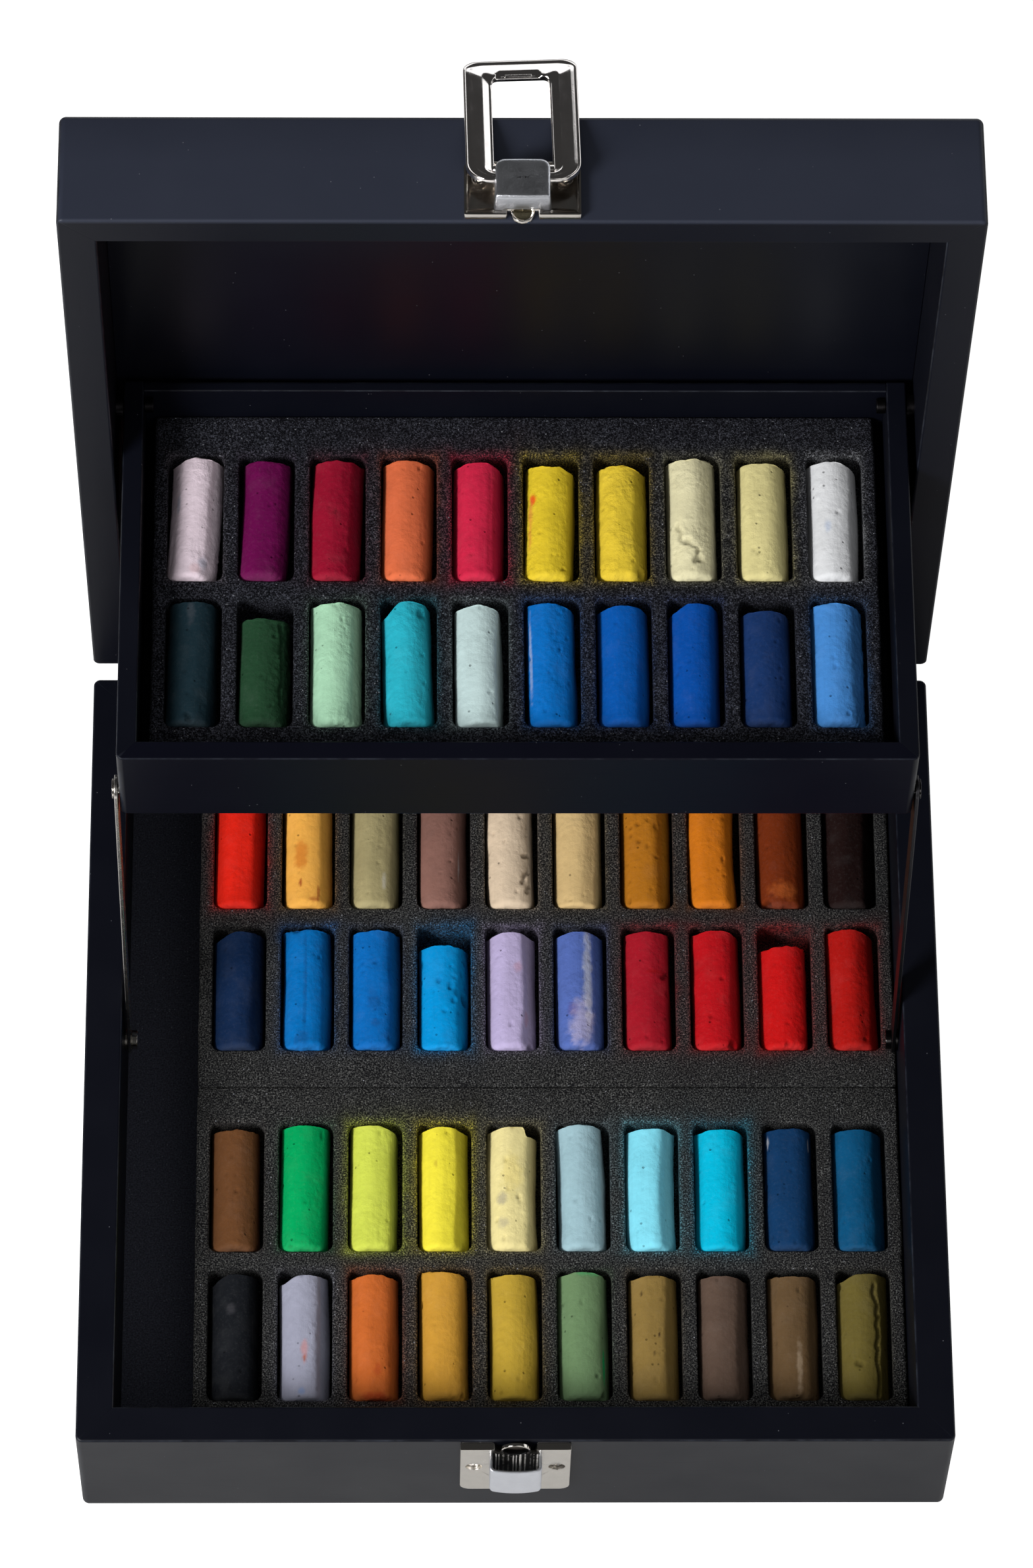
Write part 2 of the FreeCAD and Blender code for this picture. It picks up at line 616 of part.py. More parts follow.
def tray_pivots():
    """Screws on the lid's side boards that the tray's rear end turns on, and their spacers."""
    place = (TRAY_PIVOT_Y, TRAY_PIVOT_Z)
    head_end = f"({TRAY_INNER} - {TRAY_PLAY})"
    screws, spacers = [], []
    for side in SIDES:
        screws.append(headed_rod(f"tray_pivot_screw_{side}", side, place, (head_end, BITE_END),
                                 TRAY_HEAD_RADIUS, (f"{head_end} - {TRAY_HEAD_HEIGHT}", head_end)))
        spacers.append(washer(f"tray_pivot_spacer_{side}", side, place,
                              f"{TRAY_HALF} + {TRAY_PLAY}", INNER_WIDTH))
    finish("tray_pivot_screws", screws, LID_OPEN)
    finish("tray_pivot_spacers", spacers, LID_OPEN)


def lifting_arm(side):
    """A flat strip with round ends; its origin is its lower hole, its length runs along +Y."""
    name = f"{side}_lifting_arm"
    low, high = (ARM_INNER, ARM_OUTER) if side == "right" else (f"-{ARM_OUTER}", f"-{ARM_INNER}")
    strip = box(f"{name}_strip", (low, "0", "-dims.arm_half_width"),
                (high, "dims.link_length", "dims.arm_half_width"))
    ends = [rod(f"{name}_end_{i}", "x", (place, "0"), "dims.arm_half_width", low, high)
            for i, place in enumerate(("0", "dims.link_length"))]
    clearances = (("0", "dims.pivot_clearance"), ("dims.link_length", "dims.open_clearance"))
    holes = [rod(f"{name}_hole_{i}", "x", (place, "0"), f"dims.screw_radius + {clearance}",
                 f"{low} - {OVERSHOOT}", f"{high} + {OVERSHOOT}")
             for i, (place, clearance) in enumerate(clearances)]
    finish(name, cut(f"{name}_drilled", fuse(f"{name}_blank", [strip, *ends]), holes), ARM_RAISED)


# ---------------------------------------------------------------- butt hinges

KNUCKLE_CLEARANCE = 0.35


def knuckle_spans(sign, owner):
    """Where along X a leaf carries knuckles: outer thirds on the base leaf, the middle on the lid's."""
    third = "dims.hinge_width / 3"
    middle = f"({sign}) * dims.hinge_offset"
    spans = {"base": ((f"{middle} - 1.5 * {third}", f"{middle} - 0.5 * {third} - dims.knuckle_play"),
                      (f"{middle} + 0.5 * {third} + dims.knuckle_play", f"{middle} + 1.5 * {third}")),
             "lid": ((f"{middle} - 0.5 * {third} + dims.knuckle_play",
                      f"{middle} + 0.5 * {third} - dims.knuckle_play"),)}
    return spans[owner]


def hinge_leaf(side, sign, owner):
    """A leaf on a rear face, with its knuckles on the hinge axis and screw holes."""
    name = f"{side}_hinge_{owner}_leaf"
    middle = f"({sign}) * dims.hinge_offset"
    ends = (f"{middle} - dims.hinge_width / 2", f"{middle} + dims.hinge_width / 2")
    face, leaf_back = HALF_DEPTH, f"{HALF_DEPTH} + dims.leaf_thickness"
    reach = f"(dims.knuckle_radius + {KNUCKLE_CLEARANCE})"
    if owner == "base":
        leaf_levels = (f"{HINGE_Z} - dims.leaf_height", "dims.base_height")
        web_levels = (f"{HINGE_Z} - dims.knuckle_radius", "dims.base_height")
        gap_levels = (f"{HINGE_Z} - {reach}", HINGE_Z)
        bore = "dims.pin_radius"
    else:
        leaf_levels = (LID_BOTTOM, f"{HINGE_Z} + dims.leaf_height")
        web_levels = (LID_BOTTOM, f"{HINGE_Z} + dims.knuckle_radius")
        gap_levels = (HINGE_Z, f"{HINGE_Z} + {reach}")
        bore = "dims.pin_radius + dims.pivot_clearance"
    leaf = box(f"{name}_plate", (ends[0], face, leaf_levels[0]), (ends[1], leaf_back, leaf_levels[1]))
    pieces, gaps = [leaf], []
    for i, (start, end) in enumerate(knuckle_spans(sign, owner)):
        pieces.append(rod(f"{name}_knuckle_{i}", "x", (HINGE_Y, HINGE_Z), "dims.knuckle_radius", start, end))
        pieces.append(box(f"{name}_web_{i}", (start, face, web_levels[0]), (end, HINGE_Y, web_levels[1])))
    other = "lid" if owner == "base" else "base"
    for i, (start, end) in enumerate(knuckle_spans(sign, other)):
        gaps.append(box(f"{name}_gap_{i}", (f"{start} - 2 * dims.knuckle_play", face, gap_levels[0]),
                        (f"{end} + 2 * dims.knuckle_play", leaf_back, gap_levels[1])))
    gaps.append(rod(f"{name}_bore", "x", (HINGE_Y, HINGE_Z), bore,
                    f"{ends[0]} - {OVERSHOOT}", f"{ends[1]} + {OVERSHOOT}"))
    drop = -LEAF_SCREW_DROP if owner == "base" else LEAF_SCREW_DROP
    for i, step in enumerate((-LEAF_SCREW_SPREAD, LEAF_SCREW_SPREAD)):
        gaps.append(rod(f"{name}_hole_{i}", "y", (f"{middle} + ({step})", f"{HINGE_Z} + ({drop})"),
                        "dims.pin_radius", f"{face} - {OVERSHOOT}", f"{leaf_back} + {OVERSHOOT}"))
    finish(name, cut(f"{name}_bored", fuse(f"{name}_blank", pieces), gaps),
           LID_OPEN if owner == "lid" else None)


def leaf_screws(owner, drop, placement):
    """The wood screws of both hinges' leaves on the base or on the lid."""
    screws = []
    back = f"({HALF_DEPTH} + dims.leaf_thickness)"
    for i, place in enumerate(hinge_screw_places(f"{HINGE_Z} + ({drop})")):
        shank = rod(f"{owner}_hinge_shank_{i}", "y", place, "dims.pin_radius",
                    f"{HALF_DEPTH} - dims.screw_bite", back)
        head = rod(f"{owner}_hinge_head_{i}", "y", place, SMALL_HEAD_RADIUS, back,
                   f"{back} + {SMALL_HEAD_HEIGHT}")
        screws.append(fuse(f"{owner}_hinge_screw_{i}", [shank, head]))
    finish(f"{owner}_hinge_screws", screws, placement)


def hinges():
    pins = []
    for side, sign in SIDES.items():
        middle = f"({sign}) * dims.hinge_offset"
        pins.append(rod(f"{side}_pin", "x", (HINGE_Y, HINGE_Z), "dims.pin_radius",
                        f"{middle} - dims.hinge_width / 2", f"{middle} + dims.hinge_width / 2"))
        for owner in ("base", "lid"):
            hinge_leaf(side, sign, owner)
    finish("hinge_pins", pins)
    leaf_screws("base", -LEAF_SCREW_DROP, None)
    leaf_screws("lid", LEAF_SCREW_DROP, LID_OPEN)


# ---------------------------------------------------------------- latch

NOTCH_HALF = 5.2
PLATE_CORNER = 2.3
MOUTH_DEPTH = 12.0
LIP_THICKNESS = 1.1
STUD_HEIGHT = 1.5
STUD_EDGE = 1.0
LID_PLATE_START = f"({LID_BOTTOM} + 0.6)"
LID_PLATE_END = f"({LID_BOTTOM} + 16.2)"
LID_NOTCH_HALF = 4.4
LID_NOTCH_END = f"({LID_BOTTOM} + 5.2)"
COVER_START = f"({LID_BOTTOM} + 2.4)"
COVER_SLOPE = 1.2
COVER_CORNER = 2.2
SOCKET_RADIUS = 2.8
SOCKET_NECK_RADIUS = 1.8
SOCKET_RISE = 2.1
SOCKET_SHOULDER = 0.4
SOCKET_HEIGHT = 1.5


def notched_plate(label, edge, far, notch_half, notch_end, screw_level, placement=None):
    """A latch plate on a front face: its notch is at the seam edge, its far corners are round."""
    body = new_body(label, placement)
    outline = sketch_on(body, f"{label}_outline", "XZ_Plane", HALF_DEPTH)
    half = "dims.latch_half_width"
    right_side = [(half, far), (half, edge), (notch_half, edge), (notch_half, notch_end)]
    left_side = [(f"-({x})", z) for x, z in reversed(right_side)]
    polygon(outline, right_side + left_side)
    for place in latch_screw_places(screw_level):
        circle(outline, place, LATCH_HOLE_RADIUS)
    plate = pad(body, f"{label}_pad", outline, "dims.latch_plate")
    fillet(body, f"{label}_corners", plate, PLATE_CORNER,
           lambda middle: near(middle.z, far) and near(abs(middle.x), half))
    nodes[label] = body


def base_keeper():
    """A hood on the base's latch plate, open at the top; the loop's far bar catches under it."""
    body = new_body("base_latch_keeper")
    face = f"{HALF_DEPTH} + dims.latch_plate"
    outline = sketch_on(body, "keeper_outline", "XZ_Plane", face)
    half = "dims.keeper_half_width"
    ends = {-1: "dims.keeper_bottom", 1: "dims.keeper_top"}
    polygon(outline, [(signed(sx, half), ends[sz]) for sx, sz in CORNER_SIGNS])
    hood = pad(body, "keeper_pad", outline, "dims.latch_reach - dims.latch_plate")
    fillet(body, "keeper_corners", hood, PLATE_CORNER,
           lambda middle: near(middle.z, "dims.keeper_bottom") and near(abs(middle.x), half))
    mouth = sketch_on(body, "keeper_mouth", "XZ_Plane", face)
    inner = "(dims.keeper_half_width - dims.latch_skin)"
    levels = {-1: f"dims.keeper_top - {MOUTH_DEPTH}", 1: f"dims.keeper_top + {OVERSHOOT}"}
    polygon(mouth, [(signed(sx, inner), levels[sz]) for sx, sz in CORNER_SIGNS])
    pocket(body, "keeper_hollow", mouth, f"dims.latch_reach - dims.latch_plate - {LIP_THICKNESS}")
    nodes["base_latch_keeper"] = body


def locating_stud():
    """A low dome that stands across the seam and steadies the closed lid."""
    face = front("dims.latch_plate")
    nose = f"{face} - {STUD_HEIGHT}"
    blank = rod("stud_blank", "y", ("0", "dims.stud_centre"), "dims.stud_radius", nose, face)
    dome = rounded("stud_dome", blank, STUD_EDGE, lambda middle: near(middle.y, nose))
    finish("base_latch_stud", dome)


def latch_screws(label, level, placement):
    """Two recessed screws that hold a latch plate to its board."""
    screws = []
    head_face = f"{front('dims.latch_plate')} + {LATCH_HEAD_RECESS}"
    for i, place in enumerate(latch_screw_places(level)):
        shank = rod(f"{label}_shank_{i}", "y", place, "dims.pin_radius", front("0"),
                    f"{front('0')} + dims.screw_bite")
        head = rod(f"{label}_head_{i}", "y", place, LATCH_HEAD_RADIUS, head_face, front("0"))
        screws.append(fuse(f"{label}_{i}", [shank, head]))
    finish(label, screws, placement)


def loop_cover():
    """A sheet hood on the lid's latch plate that holds the loop's rod between its cheeks."""
    start, end = COVER_START, f"({COVER_START} + dims.cover_length)"
    face, top = front("dims.latch_plate"), front("dims.latch_reach")
    skin = "dims.latch_skin"
    half, inner = "dims.keeper_half_width", f"(dims.keeper_half_width - {skin})"
    body = new_body("cover_hood")
    profile = sketch_on(body, "cover_profile", "YZ_Plane", f"-{half}")
    polygon(profile, [(face, start), (face, end), (top, end), (top, f"{start} + {COVER_SLOPE}")])
    pad(body, "cover_pad", profile, f"2 * {half}")
    rounded_hood = rounded("cover_rounded", body, COVER_CORNER,
                           lambda middle: near(middle.z, end) and near(abs(middle.x), half))
    hollow = box("cover_hollow", (f"-{inner}", f"{top} + {skin}", f"{start} + {COVER_SLOPE}"),
                 (inner, face, f"{end} - {skin}"))
    bore = rod("cover_bore", "x", (LOOP_AXIS.y, LOOP_AXIS.z), "dims.pin_radius + dims.pivot_clearance",
               f"-{half} - {OVERSHOOT}", f"{half} + {OVERSHOOT}")
    finish("lid_latch_cover", cut("cover_shell", rounded_hood, [hollow, bore]), LID_OPEN)


def lid_socket():
    """A flanged button in the lid plate's notch; the stud stands in front of it when closed."""
    centre = ("0", f"{LID_BOTTOM} + {SOCKET_RISE}")
    shoulder = front(SOCKET_SHOULDER)
    button = fuse("socket_button", [
        rod("socket_neck", "y", centre, SOCKET_NECK_RADIUS, shoulder, front("0")),
        rod("socket_flange", "y", centre, SOCKET_RADIUS, front(SOCKET_HEIGHT), shoulder)])
    finish("lid_latch_socket", button, LID_OPEN)


def hasp_loop():
    """The bail: two side bars and a far bar in one plate, and a rod across its near end."""
    body = new_body("loop_frame")
    plan = sketch_on(body, "loop_plan", "XZ_Plane", "-dims.loop_thickness / 2")
    outer, window = "dims.loop_half_width", "dims.loop_window_half"
    heel = "-dims.loop_heel"
    polygon(plan, [(f"-{outer}", heel), (f"-{window}", heel), (f"-{window}", "dims.loop_window_end"),
                   (window, "dims.loop_window_end"), (window, heel), (outer, heel),
                   (outer, "dims.loop_end"), (f"-{outer}", "dims.loop_end")])
    frame = pad(body, "loop_pad", plan, "dims.loop_thickness")
    frame = fillet(body, "loop_far_corners", frame, "dims.loop_far_round",
                   lambda middle: near(middle.z, "dims.loop_end") and near(abs(middle.x), outer))
    fillet(body, "loop_near_corners", frame, "dims.loop_near_round",
           lambda middle: near(middle.z, heel) and near(abs(middle.x), outer))
    cross_rod = rod("loop_rod", "x", ("0", "0"), "dims.pin_radius",
                    f"-{window} - {OVERSHOOT}", f"{window} + {OVERSHOOT}")
    finish("hasp_loop", fuse("loop_with_rod", [body, cross_rod]), LOOP_RESTING)


def latch():
    notched_plate("base_latch_plate", "dims.keeper_plate_top", "dims.keeper_plate_bottom",
                  NOTCH_HALF, "dims.keeper_top", KEEPER_SCREW_Z)
    base_keeper()
    locating_stud()
    latch_screws("base_latch_screws", KEEPER_SCREW_Z, None)
    notched_plate("lid_latch_plate", LID_PLATE_START, LID_PLATE_END, LID_NOTCH_HALF, LID_NOTCH_END,
                  LID_LATCH_SCREW_Z, LID_OPEN)
    loop_cover()
    lid_socket()
    latch_screws("lid_latch_screws", LID_LATCH_SCREW_Z, LID_OPEN)
    hasp_loop()


# ---------------------------------------------------------------- build, check and write

def check_document():
    doc.recompute()
    for item in doc.Objects:
        if any(mark in item.State for mark in ("Invalid", "Error")):
            raise RuntimeError(f"{item.Label} is {item.State}")
    for label, node in nodes.items():
        if node.Shape.isNull() or not node.Shape.isValid():
            raise RuntimeError(f"{label} has no valid shape")


def write_parts():
    os.makedirs("parts", exist_ok=True)
    for label, node in sorted(nodes.items()):
        node.Shape.exportStep(os.path.join("parts", f"{label}.step"))
        print(f"{label}: {len(node.Shape.Solids)} solid(s), {node.Shape.Volume / 1000:.2f} cm3")


base_boards()
lid_boards()
inserts()
tray_boards()
arm_pivots()
tray_pivots()
for arm_side in SIDES:
    lifting_arm(arm_side)
hinges()
latch()
check_document()
write_parts()
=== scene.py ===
"""The look of a wooden pastel case: painted boards, foam inserts, chalk sticks and nickel fittings."""
import json
import math
from dataclasses import dataclass, field

import bmesh
import bpy
import numpy as np
from mathutils import Matrix


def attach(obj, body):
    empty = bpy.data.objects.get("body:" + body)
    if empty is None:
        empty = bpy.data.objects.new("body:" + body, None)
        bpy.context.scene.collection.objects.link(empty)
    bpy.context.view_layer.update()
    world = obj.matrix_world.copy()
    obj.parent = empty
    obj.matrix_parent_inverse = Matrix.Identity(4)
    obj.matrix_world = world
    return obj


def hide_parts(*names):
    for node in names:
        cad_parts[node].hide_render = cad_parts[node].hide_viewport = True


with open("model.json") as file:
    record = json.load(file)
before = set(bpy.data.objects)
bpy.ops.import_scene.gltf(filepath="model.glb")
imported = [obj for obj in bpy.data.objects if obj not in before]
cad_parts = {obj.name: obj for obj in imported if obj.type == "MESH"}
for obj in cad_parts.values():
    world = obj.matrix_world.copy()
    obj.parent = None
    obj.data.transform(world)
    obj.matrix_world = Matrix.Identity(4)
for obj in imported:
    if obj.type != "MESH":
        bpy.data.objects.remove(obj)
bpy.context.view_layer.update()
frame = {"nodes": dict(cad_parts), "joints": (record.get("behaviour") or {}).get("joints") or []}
MM = 0.001


# ---------------------------------------------------------------- places taken from the frame

JOINTS = {joint["name"]: joint for joint in frame["joints"]}
HINGE = np.array(JOINTS["lid_hinge"]["pos_m"])
OPEN_ANGLE = math.radians(JOINTS["lid_hinge"]["range_deg"][1])
LOOP_PIVOT = np.array(JOINTS["hasp_pivot"]["pos_m"])
LOOP_LEAN = math.radians(12.9)


def turned(points, angle, pivot):
    """Points turned about the X-wise axis through pivot."""
    y, z = points[..., 1] - pivot[1], points[..., 2] - pivot[2]
    cosine, sine = math.cos(angle), math.sin(angle)
    return np.stack([points[..., 0], pivot[1] + y * cosine - z * sine,
                     pivot[2] + y * sine + z * cosine], -1)


def opened(points):
    """A closed lid's points, where the open lid has them."""
    return turned(points, -OPEN_ANGLE, HINGE)


def closed(points):
    """An open lid's points, where the closed lid has them."""
    return turned(points, OPEN_ANGLE, HINGE)


def still(points):
    """Points left where they are."""
    return points


def node_box(node, back=still):
    """Lowest and highest corner of a CAD node, after its points are taken back to a simpler pose."""
    mesh = frame["nodes"][node].data
    points = np.empty(len(mesh.vertices) * 3)
    mesh.vertices.foreach_get("co", points)
    points = back(points.reshape(-1, 3))
    return points.min(0), points.max(0)


# ---------------------------------------------------------------- skins: meshes as whole arrays

@dataclass
class Skin:
    """Points, faces (arrays of equally long rows of point numbers) and marks carried by the points."""
    points: np.ndarray
    faces: list
    marks: dict = field(default_factory=dict)


def quads(rows, columns, wrapped=True):
    """The four-sided faces between neighbours on a grid of rows and columns, numbered row by row."""
    row = np.arange(rows - 1)[:, None] * columns
    column = np.arange(columns if wrapped else columns - 1)[None]
    following = (column + 1) % columns
    corners = (row + column, row + following, row + columns + following, row + columns + column)
    return np.stack(corners, -1).reshape(-1, 4)


def volume(skin):
    """Six times the signed volume inside a skin, from fans of triangles."""
    total = 0.0
    for rows in skin.faces:
        fan = skin.points[rows]
        for step in range(1, rows.shape[1] - 1):
            total += np.einsum("ij,ij->", fan[:, 0], np.cross(fan[:, step], fan[:, step + 1]))
    return total


def outward(skin):
    """The skin with its faces pointing out."""
    if volume(skin) < 0:
        skin.faces = [rows[:, ::-1] for rows in skin.faces]
    return skin


def stack(rings, marks=None):
    """A closed skin over rings (rings x around x 3), with a flat face over the first and the last."""
    count, around = rings.shape[:2]
    first = np.arange(around)[None, ::-1]
    last = (count - 1) * around + np.arange(around)[None]
    flat = {name: values.reshape(count * around, -1) for name, values in (marks or {}).items()}
    return outward(Skin(rings.reshape(-1, 3), [quads(count, around), first, last], flat))


def open_stack(rings):
    """A skin over rings with a flat face over the last one only."""
    count, around = len(rings), len(rings[0])
    last = (count - 1) * around + np.arange(around)[None]
    return Skin(np.concatenate(rings), [quads(count, around), last])


def joined(skins):
    """Several skins as one, each still closed in itself."""
    start, faces = 0, []
    for skin in skins:
        faces += [rows + start for rows in skin.faces]
        start += len(skin.points)
    names = set().union(*(skin.marks for skin in skins))
    marks = {}
    for name in names:
        wide = max(skin.marks[name].shape[1] for skin in skins if name in skin.marks)
        marks[name] = np.concatenate([skin.marks.get(name, np.zeros((len(skin.points), wide)))
                                      for skin in skins])
    return Skin(np.concatenate([skin.points for skin in skins]), faces, marks)


def moved(skin, place):
    """The skin with its points put through a placing function."""
    return Skin(place(skin.points), skin.faces, skin.marks)


def piece(name, skin, material, body, nodes=(), slot=None, sharp=None, even=False):
    """A Blender object from a skin, riding on a body and standing for CAD nodes."""
    mesh = bpy.data.meshes.new(name)
    totals = np.concatenate([np.full(len(rows), rows.shape[1]) for rows in skin.faces])
    corners = np.concatenate([rows.ravel() for rows in skin.faces])
    mesh.vertices.add(len(skin.points))
    mesh.vertices.foreach_set("co", skin.points.astype(np.float32).ravel())
    mesh.loops.add(len(corners))
    mesh.loops.foreach_set("vertex_index", corners.astype(np.int32))
    mesh.polygons.add(len(totals))
    starts = np.concatenate([[0], np.cumsum(totals)[:-1]])
    mesh.polygons.foreach_set("loop_start", starts.astype(np.int32))
    for mark, values in skin.marks.items():
        kind, key = ("FLOAT", "value") if values.shape[1] == 1 else ("FLOAT_COLOR", "color")
        layer = mesh.attributes.new(mark, kind, "POINT")
        layer.data.foreach_set(key, values.astype(np.float32).ravel())
    mesh.update(calc_edges=True)
    mesh.validate()
    mesh.shade_smooth()
    if sharp is not None:
        mesh.set_sharp_from_angle(angle=math.radians(sharp))
    mesh.materials.append(material)
    thing = bpy.data.objects.new(name, mesh)
    bpy.context.scene.collection.objects.link(thing)
    if even:
        weighted = thing.modifiers.new("even_normals", "WEIGHTED_NORMAL")
        weighted.keep_sharp = True
        weighted.weight = 100
    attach(thing, body)
    if nodes:
        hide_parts(*nodes)
    return thing


# ---------------------------------------------------------------- profiles

def arc(middle, radius, angle):
    """Points on a circle at the given angles."""
    return middle + radius * np.stack([np.cos(angle), np.sin(angle)], -1)


def rounded_ring(low, high, radii, inset=0.0, steps=6):
    """A rectangle between two corners with four quarter-circle corners, going round from low-low.
    Returns points (n x 2) and, for each, how far round its corner it is: 1 in the middle, 0 at the ends."""
    low, high = np.array(low, float) + inset, np.array(high, float) - inset
    turn = np.linspace(0, 1, steps + 1)
    points, middle = [], []
    for number, (side_a, side_b) in enumerate(((0, 0), (1, 0), (1, 1), (0, 1))):
        radius = max(radii[number] - inset, 0.02 * MM)
        centre = np.where((side_a, side_b), high - radius, low + radius)
        points.append(arc(centre, radius, math.pi + (number + turn) * math.pi / 2))
        middle.append(1 - np.abs(2 * turn - 1))
    return np.concatenate(points), np.concatenate(middle)


def with_sides(arcs, share):
    """Corner arcs joined up by points at the given shares of the straight sides between them."""
    sides = [done[-1] + share * (ahead[0] - done[-1]) for done, ahead in zip(arcs, arcs[1:] + arcs[:1])]
    return np.concatenate([part for pair in zip(arcs, sides) for part in pair])


def at_height(outline, height):
    """A plan outline as a ring at one height."""
    return np.column_stack([outline, np.full(len(outline), height)])


def rounded_ends(length, radius, middle, steps=4):
    """Places along a bar and how far its section is drawn in there, for quarter-round ends."""
    turn = np.linspace(0, math.pi / 2, steps + 1)
    along, inset = radius * (1 - np.cos(turn)), radius * (1 - np.sin(turn))
    between = np.linspace(radius, length - radius, middle + 2)[1:-1]
    places = np.concatenate([along, between, length - along[::-1]])
    return places, np.concatenate([inset, np.zeros(middle), inset[::-1]])


def bar(low, high, axis, radii, end_radius, middle=6):
    """A straight board: a rounded rectangle carried along an axis, drawn in at both ends.
    radii are for the corners low-low, high-low, high-high, low-high of the two other axes in order."""
    number = "xyz".index(axis)
    others = [index for index in range(3) if index != number]
    places, insets = rounded_ends(high[number] - low[number], end_radius, middle)
    corner_low, corner_high = [low[i] for i in others], [high[i] for i in others]
    rings, marks = [], []
    for place, inset in zip(places, insets):
        section, edge = rounded_ring(corner_low, corner_high, radii, inset)
        ring = np.empty((len(section), 3))
        ring[:, others] = section
        ring[:, number] = low[number] + place
        rings.append(ring)
        marks.append(np.maximum(edge, inset / end_radius))
    return stack(np.array(rings), {"edge": np.array(marks)})


def turned_rod(profile, around=32):
    """A profile of (distance along X, radius) turned about the X axis."""
    profile = np.array(profile, float)
    angle = np.arange(around) * math.tau / around
    radius = profile[:, 1, None]
    along = np.broadcast_to(profile[:, 0, None], (len(profile), around))
    return stack(np.stack([along, radius * np.cos(angle), radius * np.sin(angle)], -1))


# ---------------------------------------------------------------- shader groups and materials

def srgb(code):
    """A colour written as six hex digits, as linear numbers."""
    parts = [int(code[place:place + 2], 16) / 255 for place in (0, 2, 4)]
    return tuple(part / 12.92 if part < 0.04045 else ((part + 0.055) / 1.055) ** 2.4 for part in parts)


def opaque(color):
    """The four numbers of a colour socket."""
    return (*color[:3], 1.0)


class Nodes:
    """Adds nodes to a tree and links them by socket names."""

    def __init__(self, tree):
        self.tree = tree

    def add(self, kind, settings=None, **inputs):
        """A new node with its settings; inputs are fed by name, or by number as _0, _1 and so on."""
        node = self.tree.nodes.new(kind)
        for key, setting in (settings or {}).items():
            setattr(node, key, setting)
        for key, given in inputs.items():
            self.feed(node, key, given)
        return node

    def feed(self, node, key, given):
        """Give an input a value or a link. Spaces in its name are written as underscores."""
        index = int(key[1:]) if key[0] == "_" and key[1:].isdigit() else None
        socket = node.inputs[index] if index is not None else node.inputs[key.replace("_", " ")]
        if isinstance(given, bpy.types.NodeSocket):
            self.tree.links.new(given, socket)
        else:
            socket.default_value = given

    def math(self, operation, first, second):
        return self.add("ShaderNodeMath", {"operation": operation}, _0=first, _1=second).outputs[0]

    def times(self, first, second):
        return self.math("MULTIPLY", first, second)

    def plus(self, first, second):
        return self.math("ADD", first, second)

    def noise(self, coordinates, scale, detail=2.0, roughness=0.5, distortion=0.0):
        node = self.add("ShaderNodeTexNoise", None, Vector=coordinates, Scale=scale, Detail=detail,
                        Roughness=roughness, Distortion=distortion)
        return node.outputs["Fac"]

    def stretch(self, coordinates, scale):
        """Coordinates scaled along each axis."""
        node = self.add("ShaderNodeMapping", None, Vector=coordinates, Scale=scale)
        return node.outputs["Vector"]

    def ramp(self, given, low, high, out_low=0.0, out_high=1.0):
        """Values from low to high brought to out_low to out_high, and held there beyond."""
        node = self.add("ShaderNodeMapRange", {"clamp": True}, Value=given, _1=low, _2=high,
                        _3=out_low, _4=out_high)
        return node.outputs["Result"]

    def mix(self, share, first, second, blend="MIX"):
        """First, with a share of second over it."""
        node = self.add("ShaderNodeMix", {"data_type": "RGBA", "blend_type": blend, "clamp_factor": True})
        self.feed(node, "_0", share)
        self.feed(node, "_6", first if isinstance(first, bpy.types.NodeSocket) else opaque(first))
        self.feed(node, "_7", second if isinstance(second, bpy.types.NodeSocket) else opaque(second))
        return node.outputs[2]

    def bump(self, height, strength, distance):
        node = self.add("ShaderNodeBump", None, Height=height, Strength=strength, Distance=distance)
        return node.outputs["Normal"]

    def cells(self, coordinates, scale):
        """Voronoi cells: each point's distance to its cell's middle, and the cell's random colour parts."""
        outputs = self.add("ShaderNodeTexVoronoi", None, Vector=coordinates, Scale=scale).outputs
        return outputs["Distance"], self.add("ShaderNodeSeparateColor", None, Color=outputs["Color"]).outputs

    def part(self, coordinates, axis):
        """One coordinate of a place."""
        return self.add("ShaderNodeSeparateXYZ", None, Vector=coordinates).outputs[axis]

    def group(self, tree, **inputs):
        node = self.tree.nodes.new("ShaderNodeGroup")
        node.node_tree = tree
        for key, given in inputs.items():
            self.feed(node, key, given)
        return node.outputs

    def attribute(self, name):
        return self.add("ShaderNodeAttribute", {"attribute_name": name}).outputs

    def place(self):
        return self.add("ShaderNodeTexCoord").outputs["Object"]


def new_group(name, inputs, outputs):
    """An empty shader group with named sockets; inputs give their start values."""
    tree = bpy.data.node_groups.new(name, "ShaderNodeTree")
    for label, kind, start in inputs:
        socket = tree.interface.new_socket(label, in_out="INPUT", socket_type=f"NodeSocket{kind}")
        if start is not None:
            socket.default_value = start
    for label, kind in outputs:
        tree.interface.new_socket(label, in_out="OUTPUT", socket_type=f"NodeSocket{kind}")
    nodes = Nodes(tree)
    return tree, nodes, nodes.add("NodeGroupInput").outputs, nodes.add("NodeGroupOutput")


def new_material(name, **plain):
    """A material with one Principled shader; plain gives that shader's uniform values."""
    material = bpy.data.materials.new(name)
    material.use_nodes = True
    shader = material.node_tree.nodes["Principled BSDF"]
    for key, given in plain.items():
        shader.inputs[key.replace("_", " ")].default_value = given
    return material, Nodes(material.node_tree), shader


